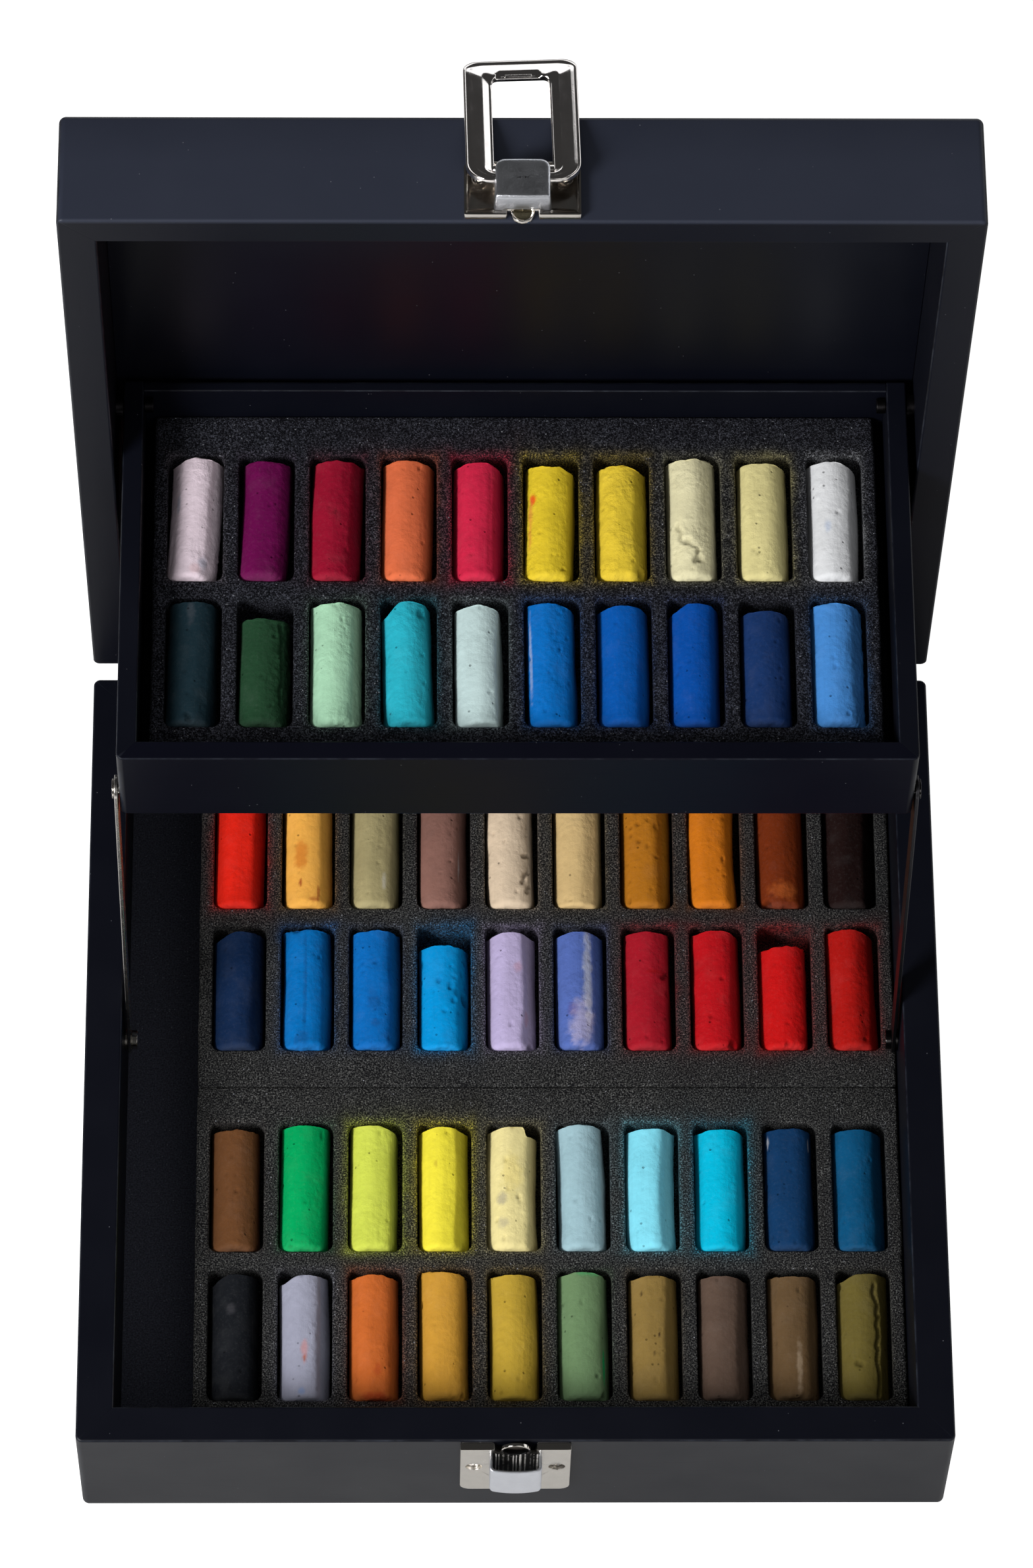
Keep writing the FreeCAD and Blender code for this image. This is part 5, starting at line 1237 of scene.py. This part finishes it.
def rounded_polygon(corners, radii, steps=6, spacing=0.8 * MM):
    """A closed outline through corners, each cut round by its radius, with points along its sides."""
    corners = np.array(corners, float)
    arcs = []
    for number, corner in enumerate(corners):
        back, ahead = corners[number - 1] - corner, corners[(number + 1) % len(corners)] - corner
        back, ahead = back / np.linalg.norm(back), ahead / np.linalg.norm(ahead)
        half = math.acos(np.clip(np.dot(back, ahead), -1, 1)) / 2
        reach = radii[number] / math.tan(half)
        middle = corner + (back + ahead) / np.linalg.norm(back + ahead) * radii[number] / math.sin(half)
        start, end = corner + back * reach - middle, corner + ahead * reach - middle
        first, turn = math.atan2(start[1], start[0]), math.atan2(end[1], end[0])
        sweep = (turn - first + math.pi) % math.tau - math.pi
        angle = first + sweep * np.linspace(0, 1, steps + 1)
        arcs.append(arc(middle, radii[number], angle))
    points = []
    for done, ahead in zip(arcs, arcs[1:] + arcs[:1]):
        count = max(int(np.linalg.norm(ahead[0] - done[-1]) / spacing), 1)
        share = np.linspace(0, 1, count + 1)[1:-1, None]
        points += [done, done[-1] + share * (ahead[0] - done[-1])]
    return np.concatenate(points)


def drawn_in(outline, inset):
    """A counter-clockwise outline moved inwards along its points' normals."""
    along = np.roll(outline, -1, 0) - np.roll(outline, 1, 0)
    along = along / np.linalg.norm(along, axis=1, keepdims=True)
    return outline + inset * np.stack([-along[:, 1], along[:, 0]], -1)


def on_front(rings):
    """Plan rings (x, z, height) set on the front face: height stands out of it."""
    return np.stack([rings[..., 0], FRONT - rings[..., 2], rings[..., 1]], -1)


def front_skin(rings, marks=None):
    """A closed skin over plan rings, set on the front face."""
    return moved(stack(np.array(rings), marks), on_front)


def holed_plate(outline, hole, profile, sink, hole_radius):
    """Half a latch plate round one screw hole: from the hole's floor up its wall and over its rim,
    across the face to the outline, over the edge and down. profile gives (inset, height) pairs from
    the face to the edge, and sink lowers the face between them and the hole."""
    around = np.arctan2(outline[:, 1] - hole[1], outline[:, 0] - hole[0])
    circle = np.stack([np.cos(around), np.sin(around)], -1)
    face = profile[0][1] - sink
    wall = ((0.05 * MM, -1.5 * MM), (0.9 * hole_radius, -1.5 * MM), (hole_radius, -1.3 * MM),
            (hole_radius, -0.15 * MM), (hole_radius + 0.05 * MM, -0.05 * MM), (hole_radius + 0.15 * MM, 0.0))
    rings = [at_height(hole + radius * circle, face + drop) for radius, drop in wall]
    start, end = rings[-1][:, :2], drawn_in(outline, profile[0][0])
    across = [(0.25, 0.0), (0.5, 0.0), (0.75, 0.0)] + [(0.86, 0.12), (0.94, 0.6)] * bool(sink)
    rings += [at_height(start + share * (end - start), face + rise * sink) for share, rise in across]
    rings += [at_height(drawn_in(outline, inset), height) for inset, height in profile]
    return front_skin(rings)


EDGE_PROFILE = [(0.55 * MM, PLATE_TOP), (0.25 * MM, PLATE_TOP), (0.08 * MM, 2.03 * MM), (0.0, 1.85 * MM),
                (0.0, 0.0)]


@dataclass
class Screw:
    """A round head in its hole: lengths in metres, turn in steps of 0.3 rad."""
    hole_radius: float
    seat: float              # height of the head's edge over the front face
    radius: float
    dome: float
    recess: float
    turn: int


def screw_head(centre, screw, turn):
    """A round screw head seen from the front: its dome falls off towards its rim, less a cross-shaped
    recess whose arms narrow to their ends."""
    rings, around = 22, 72
    share = np.linspace(0, 1, rings)
    angle = np.arange(around) * math.tau / around + 0.3 * turn
    span = screw.radius * (0.03 + 0.97 * share)
    u, v = span[:, None] * np.cos(angle - 0.3 * turn + 0.5), span[:, None] * np.sin(angle - 0.3 * turn + 0.5)
    top = screw.dome * (1 - 0.45 * share[:, None] ** 2.5)
    arm, reach = 0.13 * screw.radius, 0.62 * screw.radius
    cut_u = (1 - smooth(np.abs(v), arm, 1.6 * arm)) * (1 - smooth(np.abs(u), 0.75 * reach, reach))
    cut_v = (1 - smooth(np.abs(u), arm, 1.6 * arm)) * (1 - smooth(np.abs(v), 0.75 * reach, reach))
    top = top - screw.recess * np.maximum(cut_u, cut_v)
    x = centre[0] + span[:, None] * np.cos(angle)
    z = centre[1] + span[:, None] * np.sin(angle)
    rings = np.stack([x, z, screw.seat + top], -1)
    skirt = rings[-1].copy()
    skirt[:, 2] = screw.seat - 0.8 * MM
    return front_skin(np.concatenate([rings, skirt[None]]))


def latch_plate(corners, radii, screws_node, back, sink, screw):
    """A plate's two halves, mirrored about its middle, and its two screws. corners (x, z) and radii are
    the right half's; sink is how far the face is dished."""
    box = node_box(screws_node, back)
    plates, screws = [], []
    for side in (-1, 1):
        outline = (corners, radii) if side > 0 else ((corners * (-1, 1))[::-1], radii[::-1])
        hole = np.array([side * SCREW_OUT, (box[0][2] + box[1][2]) / 2])
        plates.append(holed_plate(rounded_polygon(*outline), hole, EDGE_PROFILE, sink, screw.hole_radius))
        screws.append(screw_head(hole, screw, side + screw.turn))
    return joined(plates), joined(screws)


def base_latch():
    """The plate with its notch and two screws, the hood that takes the loop, and the domed stud."""
    low, high = node_box("base_latch_plate")
    half, bottom, top = high[0] - MIDDLE, low[2], high[2]
    notch = top - 5.5 * MM
    corners = np.array([(0, bottom), (half, bottom), (half, top), (5.7 * MM, top), (4.9 * MM, notch),
                        (0, notch)])
    radii = np.array([0.1, 2.8, 0.9, 0.5, 0.4, 0.1]) * MM
    screw = Screw(hole_radius=2.15 * MM, seat=0.75 * MM, radius=1.9 * MM, dome=0.55 * MM, recess=0.5 * MM,
                  turn=2)
    plates, screws = latch_plate(corners, radii, "base_latch_screws", still, 0.0, screw)
    flanges = [bar((start, FRONT - 2.14 * MM, top - 0.4 * MM), (end, FRONT - 0.05 * MM, top + 0.05 * MM), "x",
                   (0.12 * MM,) * 4, 0.12 * MM) for start, end in ((-half, -5.6 * MM), (5.6 * MM, half))]
    piece("base_latch_flange", joined(flanges), BRIGHT_NICKEL, "base", (), "latch_steel", sharp=60)
    piece("base_latch_sheet", plates, SATIN_NICKEL, "base", ["base_latch_plate"], "latch_steel", sharp=40)
    piece("base_plate_screws", screws, BRIGHT_NICKEL, "base", ["base_latch_screws"], "latch_steel", sharp=50)
    base_hood()
    low, high = node_box("base_latch_stud")
    centre, radius = ((low + high) / 2)[[0, 2]], (high[0] - low[0]) / 2
    round_button("base_latch_rim", centre, radius, STUD_RIM, BRIGHT_NICKEL, still, "base",
                 ["base_latch_stud"])
    # painted dark reflection in the stud's middle
    round_button("base_latch_eye", centre, radius, STUD_DOME, EYE_DARK_REFLECTION_NICKEL, still, "base", ())


HOOD_FOOT = ((3.4, 0.0, 2.6), (2.3, 0.02, 1.5), (1.45, 0.22, 0.7), (0.8, 0.65, 0.25), (0.35, 1.2, 0.06),
             (0.08, 1.8, 0.0), (0.0, 2.5, 0.0))      # (inset, rise, drawn back) in millimetres
HOOD_RIM = ((0.05, 0.12), (0.2, 0.0), (0.5, 0.0), (0.68, 0.1), (0.72, 0.3))      # (inset, drop)
HOOD_THICKNESS = 0.72 * MM


def base_hood():
    """The hood that takes the loop, and the ribbed spring inside it."""
    low, high = node_box("base_latch_keeper")
    half, bottom, mouth = high[0] - MIDDLE, low[2] + 0.5 * MM, high[2]
    reach = FRONT - low[1]
    lip_bow, foot_bow = 0.35 * MM, 0.5 * MM

    def section(inset, level, back, bow):
        """A rounded box in plan whose front face bulges in the middle, its rim bowed down there."""
        ring = loop_outline(half - inset, 2.0 * MM, reach - inset - back, 0.2 * MM, 1.0 * MM, 6, 14)
        middle = 1 - (ring[:, 0] / half) ** 2
        bulge = 0.55 * MM * middle * smooth(ring[:, 1], 3.5 * MM, reach - 1.0 * MM)
        sunk = bow * middle * smooth(ring[:, 1], 3.5 * MM, reach - 0.6 * MM)
        return np.stack([ring[:, 0], level - sunk, ring[:, 1] + bulge], -1)

    rings = [section(inset * MM, bottom + rise * MM, back * MM, foot_bow) for inset, rise, back in HOOD_FOOT]
    rings += [section(0.0, level, 0.0, lip_bow)
              for level in np.linspace(bottom + 3.2 * MM, mouth - 0.35 * MM, 6)]
    rings += [section(inset * MM, mouth - drop * MM, 0.0, lip_bow) for inset, drop in HOOD_RIM]
    rings += [section(HOOD_THICKNESS, level, 0.0, 0.0)
              for level in np.linspace(mouth - 1 * MM, bottom + 4 * MM, 5)]
    piece("base_latch_hood", front_skin(rings), HOOD_NICKEL, "base", ["base_latch_keeper"], "latch_steel",
          sharp=60)
    flutes = np.linspace(-half + 0.9 * MM, half - 0.9 * MM, 121)
    across = flutes / MM
    wave = 0.17 * MM * np.sin(across * 5.6 + 1.1 * np.sin(across * 1.3) + 0.7 * np.sin(across * 2.7))
    wave = wave * (0.6 + 0.4 * np.sin(across * 0.9 + 1.0)) + 0.12 * MM
    lines = []
    for level in np.linspace(bottom + 4 * MM, mouth + 0.4 * MM, 5):
        ribbed, flat = np.empty((2, len(flutes), 3))
        ribbed[:, 0], ribbed[:, 1], ribbed[:, 2] = flutes, level, 2.35 * MM + wave
        flat[:, 0], flat[:, 1], flat[:, 2] = flutes[::-1], level, 2.0 * MM
        lines.append(np.concatenate([ribbed, flat]))
    # crest carries the painted reflection stripes of the ribs
    crest = np.concatenate([wave / (0.34 * MM), np.zeros(len(flutes))])
    piece("base_latch_fluting", front_skin(lines, {"crest": np.tile(crest, (len(lines), 1))}), FLUTED_NICKEL,
          "base", (), "latch_steel", sharp=50)


# (share of the radius, height over the plate in millimetres), from the middle or the inner rim outwards
STUD_RIM = ((0.84, 0.05), (0.86, 0.22), (0.90, 0.34), (0.94, 0.34), (0.98, 0.24), (1.0, 0.05), (1.0, -0.6),
            (0.84, -0.6))
STUD_DOME = ((0.02, 0.62), (0.25, 0.60), (0.45, 0.54), (0.62, 0.42), (0.76, 0.25), (0.87, 0.08), (0.87, -0.3),
             (0.02, -0.3))
SOCKET_RIM = ((0.86, -0.9), (0.88, -0.8), (0.92, -0.76), (0.97, -0.8), (1.0, -0.92), (1.0, -2.0),
              (0.86, -2.0))
SOCKET_FLOOR = ((0.02, -0.9), (0.5, -0.88), (0.8, -0.9), (0.89, -0.94), (0.89, -1.7), (0.02, -1.7))


def round_button(name, centre, radius, profile, material, place, body, nodes):
    """A turned disc on a latch plate, from one of the profiles above."""
    angle = np.arange(72) * math.tau / 72
    rings = [at_height(arc(centre, share * radius, angle), PLATE_TOP + rise * MM) for share, rise in profile]
    piece(name, moved(front_skin(rings), place), material, body, nodes, "latch_steel", sharp=60)


LID_HOOD = ((0.0, 0.0, 0.0, 1.0), (0.0, 0.0, 0.0, 2.2), (0.0, 0.05, 0.0, 4.2), (0.03, 0.15, 0.03, 5.9),
            (0.10, 0.28, 0.10, 6.5), (0.25, 0.42, 0.25, 6.85), (0.5, 0.62, 0.5, 7.05),
            (0.85, 0.95, 0.9, 7.12), (1.4, 1.5, 1.5, 7.14), (2.6, 2.7, 2.8, 7.16), (4.4, 4.5, 4.6, 7.18),
            (6.3, 5.9, 6.0, 7.18))      # (side inset, near inset, far inset, height) in millimetres


def lid_latch():
    """The lid's dished plate with its two screws, the hood over the loop's rod and the notch's button."""
    low, high = node_box("lid_latch_plate", closed)
    half, bottom, top = high[0] - MIDDLE, low[2], high[2]
    notch = bottom + 1.6 * MM
    corners = np.array([(0, notch), (3.9 * MM, notch), (3.9 * MM, bottom), (half, bottom), (half, top),
                        (0, top)])
    radii = np.array([0.1, 0.2, 0.4, 0.5, 1.7, 0.1]) * MM
    screw = Screw(hole_radius=1.5 * MM, seat=-0.25 * MM, radius=1.35 * MM, dome=0.6 * MM,
                  recess=0.45 * MM, turn=4)
    plates, screws = latch_plate(corners, radii, "lid_latch_screws", closed, 1.3 * MM, screw)
    piece("lid_latch_sheet", moved(plates, opened), BRIGHT_NICKEL, "lid", ["lid_latch_plate"], "latch_steel",
          sharp=40)
    piece("lid_plate_screws", moved(screws, opened), BRIGHT_NICKEL, "lid", ["lid_latch_screws"],
          "latch_steel", sharp=50)
    low, high = node_box("lid_latch_cover", closed)
    half, near, far = high[0] - MIDDLE, low[2] + 0.25 * MM, high[2]
    rings = []
    for inset, near_inset, far_inset, height in LID_HOOD:
        ring = loop_outline(half - inset * MM, near + near_inset * MM, far - far_inset * MM,
                            max(0.55 - 0.3 * inset, 0.05) * MM, max(2.3 - 0.55 * inset, 0.1) * MM, 7, 12)
        middle = 1 - (ring[:, 0] / half) ** 2
        bow = -0.30 * MM * middle * (1 - smooth(ring[:, 1], near, near + 6 * MM))
        flare = 1 + 0.035 * (1 - smooth(height, 2.0, 6.0)) * (1 - smooth(ring[:, 1], near, near + 3 * MM))
        fall = 0.22 * MM * (1 - middle) * (height > 5)
        rings.append(np.column_stack([ring[:, 0] * flare, ring[:, 1] + bow, height * MM - fall]))
    piece("lid_latch_hood", moved(front_skin(rings), opened), HOOD_NICKEL, "lid", ["lid_latch_cover"],
          "latch_steel", sharp=50)
    low, high = node_box("lid_latch_socket", closed)
    centre, radius = ((low + high) / 2)[[0, 2]] - (0, 0.1 * MM), (high[0] - low[0]) / 2 + 0.1 * MM
    round_button("lid_latch_button", centre, radius, SOCKET_RIM, BRIGHT_NICKEL, opened, "lid",
                 ["lid_latch_socket"])
    round_button("lid_latch_eye", centre, radius, SOCKET_FLOOR, BUTTON_NICKEL, opened, "lid", ())


def loop_outline(half, near, far, near_round, far_round, steps=9, sides=26):
    """A frame outline from its near-left corner: as many points on every side and corner."""
    corners = ((-half, near, near_round), (half, near, near_round), (half, far, far_round),
               (-half, far, far_round))
    inward = ((1, 1), (-1, 1), (-1, -1), (1, -1))
    turn = np.linspace(0, math.pi / 2, steps + 1)
    arcs = [arc(np.array([x + right * radius, y + up * radius]), radius, (number + 2) * math.pi / 2 + turn)
            for number, ((x, y, radius), (right, up)) in enumerate(zip(corners, inward))]
    return with_sides(arcs, np.linspace(0, 1, sides + 1)[1:-1, None])


# (share of the way from the window's edge to the outer edge, height in millimetres)
SIDE_BAR = ((0.0, -0.9), (0.0, -0.25), (0.015, -0.05), (0.04, 0.0), (0.065, -0.05), (0.085, -0.12),
            (0.11, -0.05), (0.30, 0.62), (0.345, 0.72), (0.39, 0.74), (0.50, 0.70), (0.62, 0.70),
            (0.73, 0.74), (0.77, 0.71), (0.875, 0.36), (0.90, 0.33), (0.92, 0.42), (0.95, 0.50), (0.98, 0.42),
            (1.0, 0.15), (1.0, -0.9))
FAR_BAR = ((0.0, -0.9), (0.0, 0.2), (0.012, 0.72), (0.03, 0.82), (0.06, 0.86), (0.10, 0.85), (0.2, 0.76),
           (0.3, 0.64), (0.4, 0.50), (0.48, 0.37), (0.56, 0.23), (0.64, 0.07), (0.72, -0.10), (0.78, -0.20),
           (0.81, -0.14), (0.84, 0.02), (0.875, 0.10), (0.91, 0.04), (0.96, -0.12), (1.0, -0.30), (1.0, -0.9))
WINDOW_LENGTH = 32.6 * MM
ROD_HALF = 7.6
ROD_RADIUS = 1.0


def hasp_loop():
    """The stamped loop: from its window's edge to its outer edge the sheet rises over an inner bevel to
    a flat, falls over an outer bevel and ends in a rolled rim; the far bar slopes to its far edge and
    has a small sunk tab. t runs from the rod's axis to the far edge."""
    inner = loop_outline(7.25 * MM, -0.9 * MM, WINDOW_LENGTH, 1.2 * MM, 1.6 * MM)
    outer = loop_outline(14.3 * MM, -4.0 * MM, LOOP_LENGTH, 6.2 * MM, 3.6 * MM)
    weight = smooth(inner[:, 1], 31.0 * MM, WINDOW_LENGTH)
    rings = []
    for (share, height), (far_share, far_height) in zip(SIDE_BAR, FAR_BAR):
        place = inner + (share + weight * (far_share - share))[:, None] * (outer - inner)
        level = (height + weight * (far_height - height)) * MM
        rings.append(np.column_stack([place, level]))
    rings = np.array(rings)
    x, t = rings[..., 0], rings[..., 1]
    tab_end, tab_depth = 34.5 * MM, 0.75 * MM
    tab = 1 - smooth(np.abs(x + 0.6 * MM) - 0.7 * (tab_end - t), 4.3 * MM, 4.7 * MM)
    tab = tab * (1 - smooth(t, 34.3 * MM, 34.6 * MM))
    tab = tab * smooth(rings[..., 2], -0.3 * MM, 0.2 * MM) * (t > 31.0 * MM)
    rings[..., 2] -= tab_depth * tab
    count, around = rings.shape[:2]
    sheet = Skin(rings.reshape(-1, 3), [quads(count + 1, around) % (count * around)])
    strip = bar((-3.9 * MM, 32.9 * MM, -0.25 * MM), (2.9 * MM, 33.7 * MM, 0.45 * MM), "x", (0.15 * MM,) * 4,
                0.15 * MM)
    end = np.array([(ROD_HALF, 0.05), (ROD_HALF, ROD_RADIUS - 0.1), (ROD_HALF - 0.1, ROD_RADIUS)]) * MM
    rod = turned_rod(np.concatenate([end * (-1, 1), end[::-1]]))
    axis = closed(LOOP_PIVOT)
    twist = math.radians(0.9)

    def placed(points):
        x, t, h = points[..., 0], points[..., 1], points[..., 2]
        t = t + 0.036 * x * np.clip(t / LOOP_LENGTH, 0, 1)
        x, t = x * math.cos(twist) - t * math.sin(twist), x * math.sin(twist) + t * math.cos(twist)
        y = axis[1] - h * math.cos(LOOP_LEAN) + t * math.sin(LOOP_LEAN)
        z = axis[2] + t * math.cos(LOOP_LEAN) + h * math.sin(LOOP_LEAN)
        return opened(np.stack([x + 0.25 * MM, y, z], -1))

    skin = joined([moved(outward(sheet), placed), moved(strip, placed), moved(rod, placed)])
    piece("latch_loop", skin, LOOP_NICKEL, "hasp", ["hasp_loop"], "latch_steel", sharp=70)


base_latch()
lid_latch()
hasp_loop()


# ---------------------------------------------------------------- fittings from their solids

EDGE_ANGLE = math.radians(30)


def finished(node, body, material, slot, bevel):
    """A copy of a CAD solid, its loose triangles joined and its edges broken by a small bevel."""
    mesh = frame["nodes"][node].data.copy()
    mesh.name = f"{node}_metal"
    work = bmesh.new()
    work.from_mesh(mesh)
    bmesh.ops.remove_doubles(work, verts=work.verts, dist=1e-6)
    bmesh.ops.dissolve_limit(work, angle_limit=math.radians(2), verts=work.verts, edges=work.edges)
    work.to_mesh(mesh)
    work.free()
    mesh.materials.clear()
    mesh.materials.append(material)
    mesh.shade_smooth()
    mesh.set_sharp_from_angle(angle=EDGE_ANGLE)
    thing = bpy.data.objects.new(mesh.name, mesh)
    bpy.context.scene.collection.objects.link(thing)
    cut = thing.modifiers.new("broken_edges", "BEVEL")
    cut.width, cut.segments, cut.limit_method = bevel, 3, "ANGLE"
    cut.angle_limit = EDGE_ANGLE
    cut.use_clamp_overlap = True
    weighted = thing.modifiers.new("even_normals", "WEIGHTED_NORMAL")
    weighted.keep_sharp = True
    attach(thing, body)
    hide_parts(node)


for node, body, material, slot, bevel in (
        ("left_hinge_base_leaf", "base", STRIP_NICKEL, "hinge_steel", 0.15 * MM),
        ("right_hinge_base_leaf", "base", STRIP_NICKEL, "hinge_steel", 0.15 * MM),
        ("left_hinge_lid_leaf", "lid", STRIP_NICKEL, "hinge_steel", 0.15 * MM),
        ("right_hinge_lid_leaf", "lid", STRIP_NICKEL, "hinge_steel", 0.15 * MM),
        ("hinge_pins", "base", BRIGHT_NICKEL, "hinge_steel", 0.2 * MM),
        ("base_hinge_screws", "base", BRIGHT_NICKEL, "hinge_steel", 0.1 * MM),
        ("lid_hinge_screws", "lid", BRIGHT_NICKEL, "hinge_steel", 0.1 * MM),
        ("left_lifting_arm", "left_arm", STRIP_NICKEL, "arm_steel", 0.15 * MM),
        # the right arm carries a painted dark reflection
        ("right_lifting_arm", "right_arm", DARK_REFLECTION_STRIP_NICKEL, "arm_steel", 0.15 * MM),
        ("base_arm_screws", "base", PIVOT_NICKEL, "pivot_steel", 0.1 * MM),
        ("base_arm_washers", "base", PIVOT_NICKEL, "pivot_steel", 0.1 * MM),
        ("tray_arm_screws", "tray", PIVOT_NICKEL, "pivot_steel", 0.1 * MM),
        ("tray_pivot_screws", "lid", REAR_PIVOT_NICKEL, "pivot_steel", 0.1 * MM),
        ("tray_pivot_spacers", "lid", REAR_PIVOT_NICKEL, "pivot_steel", 0.1 * MM)):
    finished(node, body, material, slot, bevel)


# ---------------------------------------------------------------- floor, lights and camera

def staged_sheet(name, points, columns, material):
    """A grid of points as a sheet that belongs to the surroundings."""
    mesh = bpy.data.meshes.new(name)
    rows = len(points) // columns
    mesh.from_pydata(points.tolist(), [], quads(rows, columns, wrapped=False).tolist())
    mesh.materials.append(material)
    thing = bpy.data.objects.new(name, mesh)
    bpy.context.scene.collection.objects.link(thing)


def floor(reach=3.0, drop=0.0002, glow=0.85):
    """A plain white table top: one flat grid, its rows and columns at equal steps."""
    steps = np.linspace(-reach, reach, 9)
    x, y = np.meshgrid(steps, steps)
    material, n, shader = new_material("white_table", Base_Color=(0.62, 0.62, 0.62, 1), Roughness=0.9,
                                       Specular_IOR_Level=0.1, Emission_Color=(1, 1, 1, 1))
    seen = n.add("ShaderNodeLightPath").outputs["Is Camera Ray"]
    n.feed(shader, "Emission_Strength", n.times(seen, glow))
    staged_sheet("table_top", np.stack([x.ravel(), y.ravel(), np.full(x.size, -drop)], -1), 9, material)


def backdrop(radius=2.4, start=-16.0, end=118.0, top=25.0, glow=1.35):
    """A white paper wall behind the case and round to its right, seen only as a reflection: an arc of
    the given radius from start to end, in degrees from straight behind, up to top degrees."""
    azimuth = np.radians(np.linspace(start, end, 49))
    height = radius * np.tan(np.radians(np.linspace(-1.0, top, 13)))
    azimuth, height = np.meshgrid(azimuth, height)
    points = np.stack([radius * np.sin(azimuth), radius * np.cos(azimuth), height], -1).reshape(-1, 3)
    material, n, shader = new_material("paper_wall", Base_Color=(0, 0, 0, 1), Roughness=1.0,
                                       Specular_IOR_Level=0.0, Emission_Color=(0.96, 0.98, 1.0, 1))
    glossy = n.add("ShaderNodeLightPath").outputs["Is Glossy Ray"]
    n.feed(shader, "Emission_Strength", n.times(glossy, glow))
    n.feed(shader, "Alpha", glossy)
    staged_sheet("paper_wall", points, 49, material)


def axes(back, roll=0.0):
    """Right, up and back for something that looks against back, rolled about its line of sight."""
    right = np.cross((0, 0, 1), back)
    right = right / np.linalg.norm(right)
    up = np.cross(back, right)
    return math.cos(roll) * right + math.sin(roll) * up, math.cos(roll) * up - math.sin(roll) * right, back


def set_up(name, data, place, right_up_back):
    """A new object at a place, with its own axes along right, up and back."""
    thing = bpy.data.objects.new(name, data)
    bpy.context.scene.collection.objects.link(thing)
    thing.matrix_world = Matrix(np.column_stack([*right_up_back, place]).tolist() + [[0, 0, 0, 1]])
    return thing


def lamp(name, place, aim, side, power):
    """A square lamp shining from place to aim."""
    light = bpy.data.lights.new(name, "AREA")
    light.shape, light.size, light.size_y, light.energy = "RECTANGLE", side, side, power
    place = np.array(place, float)
    set_up(name, light, place, axes((place - aim) / np.linalg.norm(place - aim)))


EVEN_LIGHT = 0.40
ROOM_IN_REFLECTIONS = 0.035


def surroundings():
    """White to the eye, a darker room in reflections and a plain even light on everything."""
    world = bpy.data.worlds.new("studio")
    bpy.context.scene.world = world
    world.use_nodes = True
    n = Nodes(world.node_tree)
    output = world.node_tree.nodes["World Output"]
    path = n.add("ShaderNodeLightPath").outputs
    plain = world.node_tree.nodes["Background"]
    plain.inputs["Color"].default_value = (1, 1, 1, 1)
    plain.inputs["Strength"].default_value = EVEN_LIGHT
    seen = n.add("ShaderNodeBackground", None, Color=(1, 1, 1, 1), Strength=1.0)
    mirrored = n.add("ShaderNodeBackground", None, Color=(1, 1, 1, 1), Strength=ROOM_IN_REFLECTIONS)
    unseen = n.add("ShaderNodeMixShader", None, _0=path["Is Glossy Ray"], _1=plain.outputs[0],
                   _2=mirrored.outputs[0])
    every_ray = n.add("ShaderNodeMixShader", None, _0=path["Is Camera Ray"], _1=unseen.outputs[0],
                      _2=seen.outputs[0])
    n.feed(output, "Surface", every_ray.outputs[0])


FRAME_WIDTH, FRAME_HEIGHT = 1568, 2380
SENSOR_HEIGHT = 36.0
FOCAL_LENGTH_PIXELS = 10099


def camera():
    """A long lens high above the front edge."""
    elevation, azimuth, roll = np.radians((62.97, -2.03, 1.83))
    distance, right_by, up_by = 1.829, 0.0016, 0.0922
    right, up, back = axes(np.array([math.sin(azimuth) * math.cos(elevation),
                                     -math.cos(azimuth) * math.cos(elevation), math.sin(elevation)]), roll)
    lens = bpy.data.cameras.new("camera")
    lens.sensor_fit, lens.sensor_height = "VERTICAL", SENSOR_HEIGHT
    lens.sensor_width = SENSOR_HEIGHT * FRAME_WIDTH / FRAME_HEIGHT
    lens.lens = SENSOR_HEIGHT * FOCAL_LENGTH_PIXELS / FRAME_HEIGHT
    lens.clip_end = 20
    place = back * distance + right * right_by + up * up_by
    bpy.context.scene.camera = set_up("camera", lens, place, (right, up, back))


floor()
surroundings()
lamp("key", place=(-0.95, -0.75, 1.0), aim=(0, 0.05, 0.08), side=0.5, power=25.0)
lamp("fill", place=(0.55, -0.95, 0.9), aim=(0, 0.0, 0.08), side=0.9, power=2.5)
backdrop()
camera()
bpy.context.scene.view_settings.view_transform = "Standard"
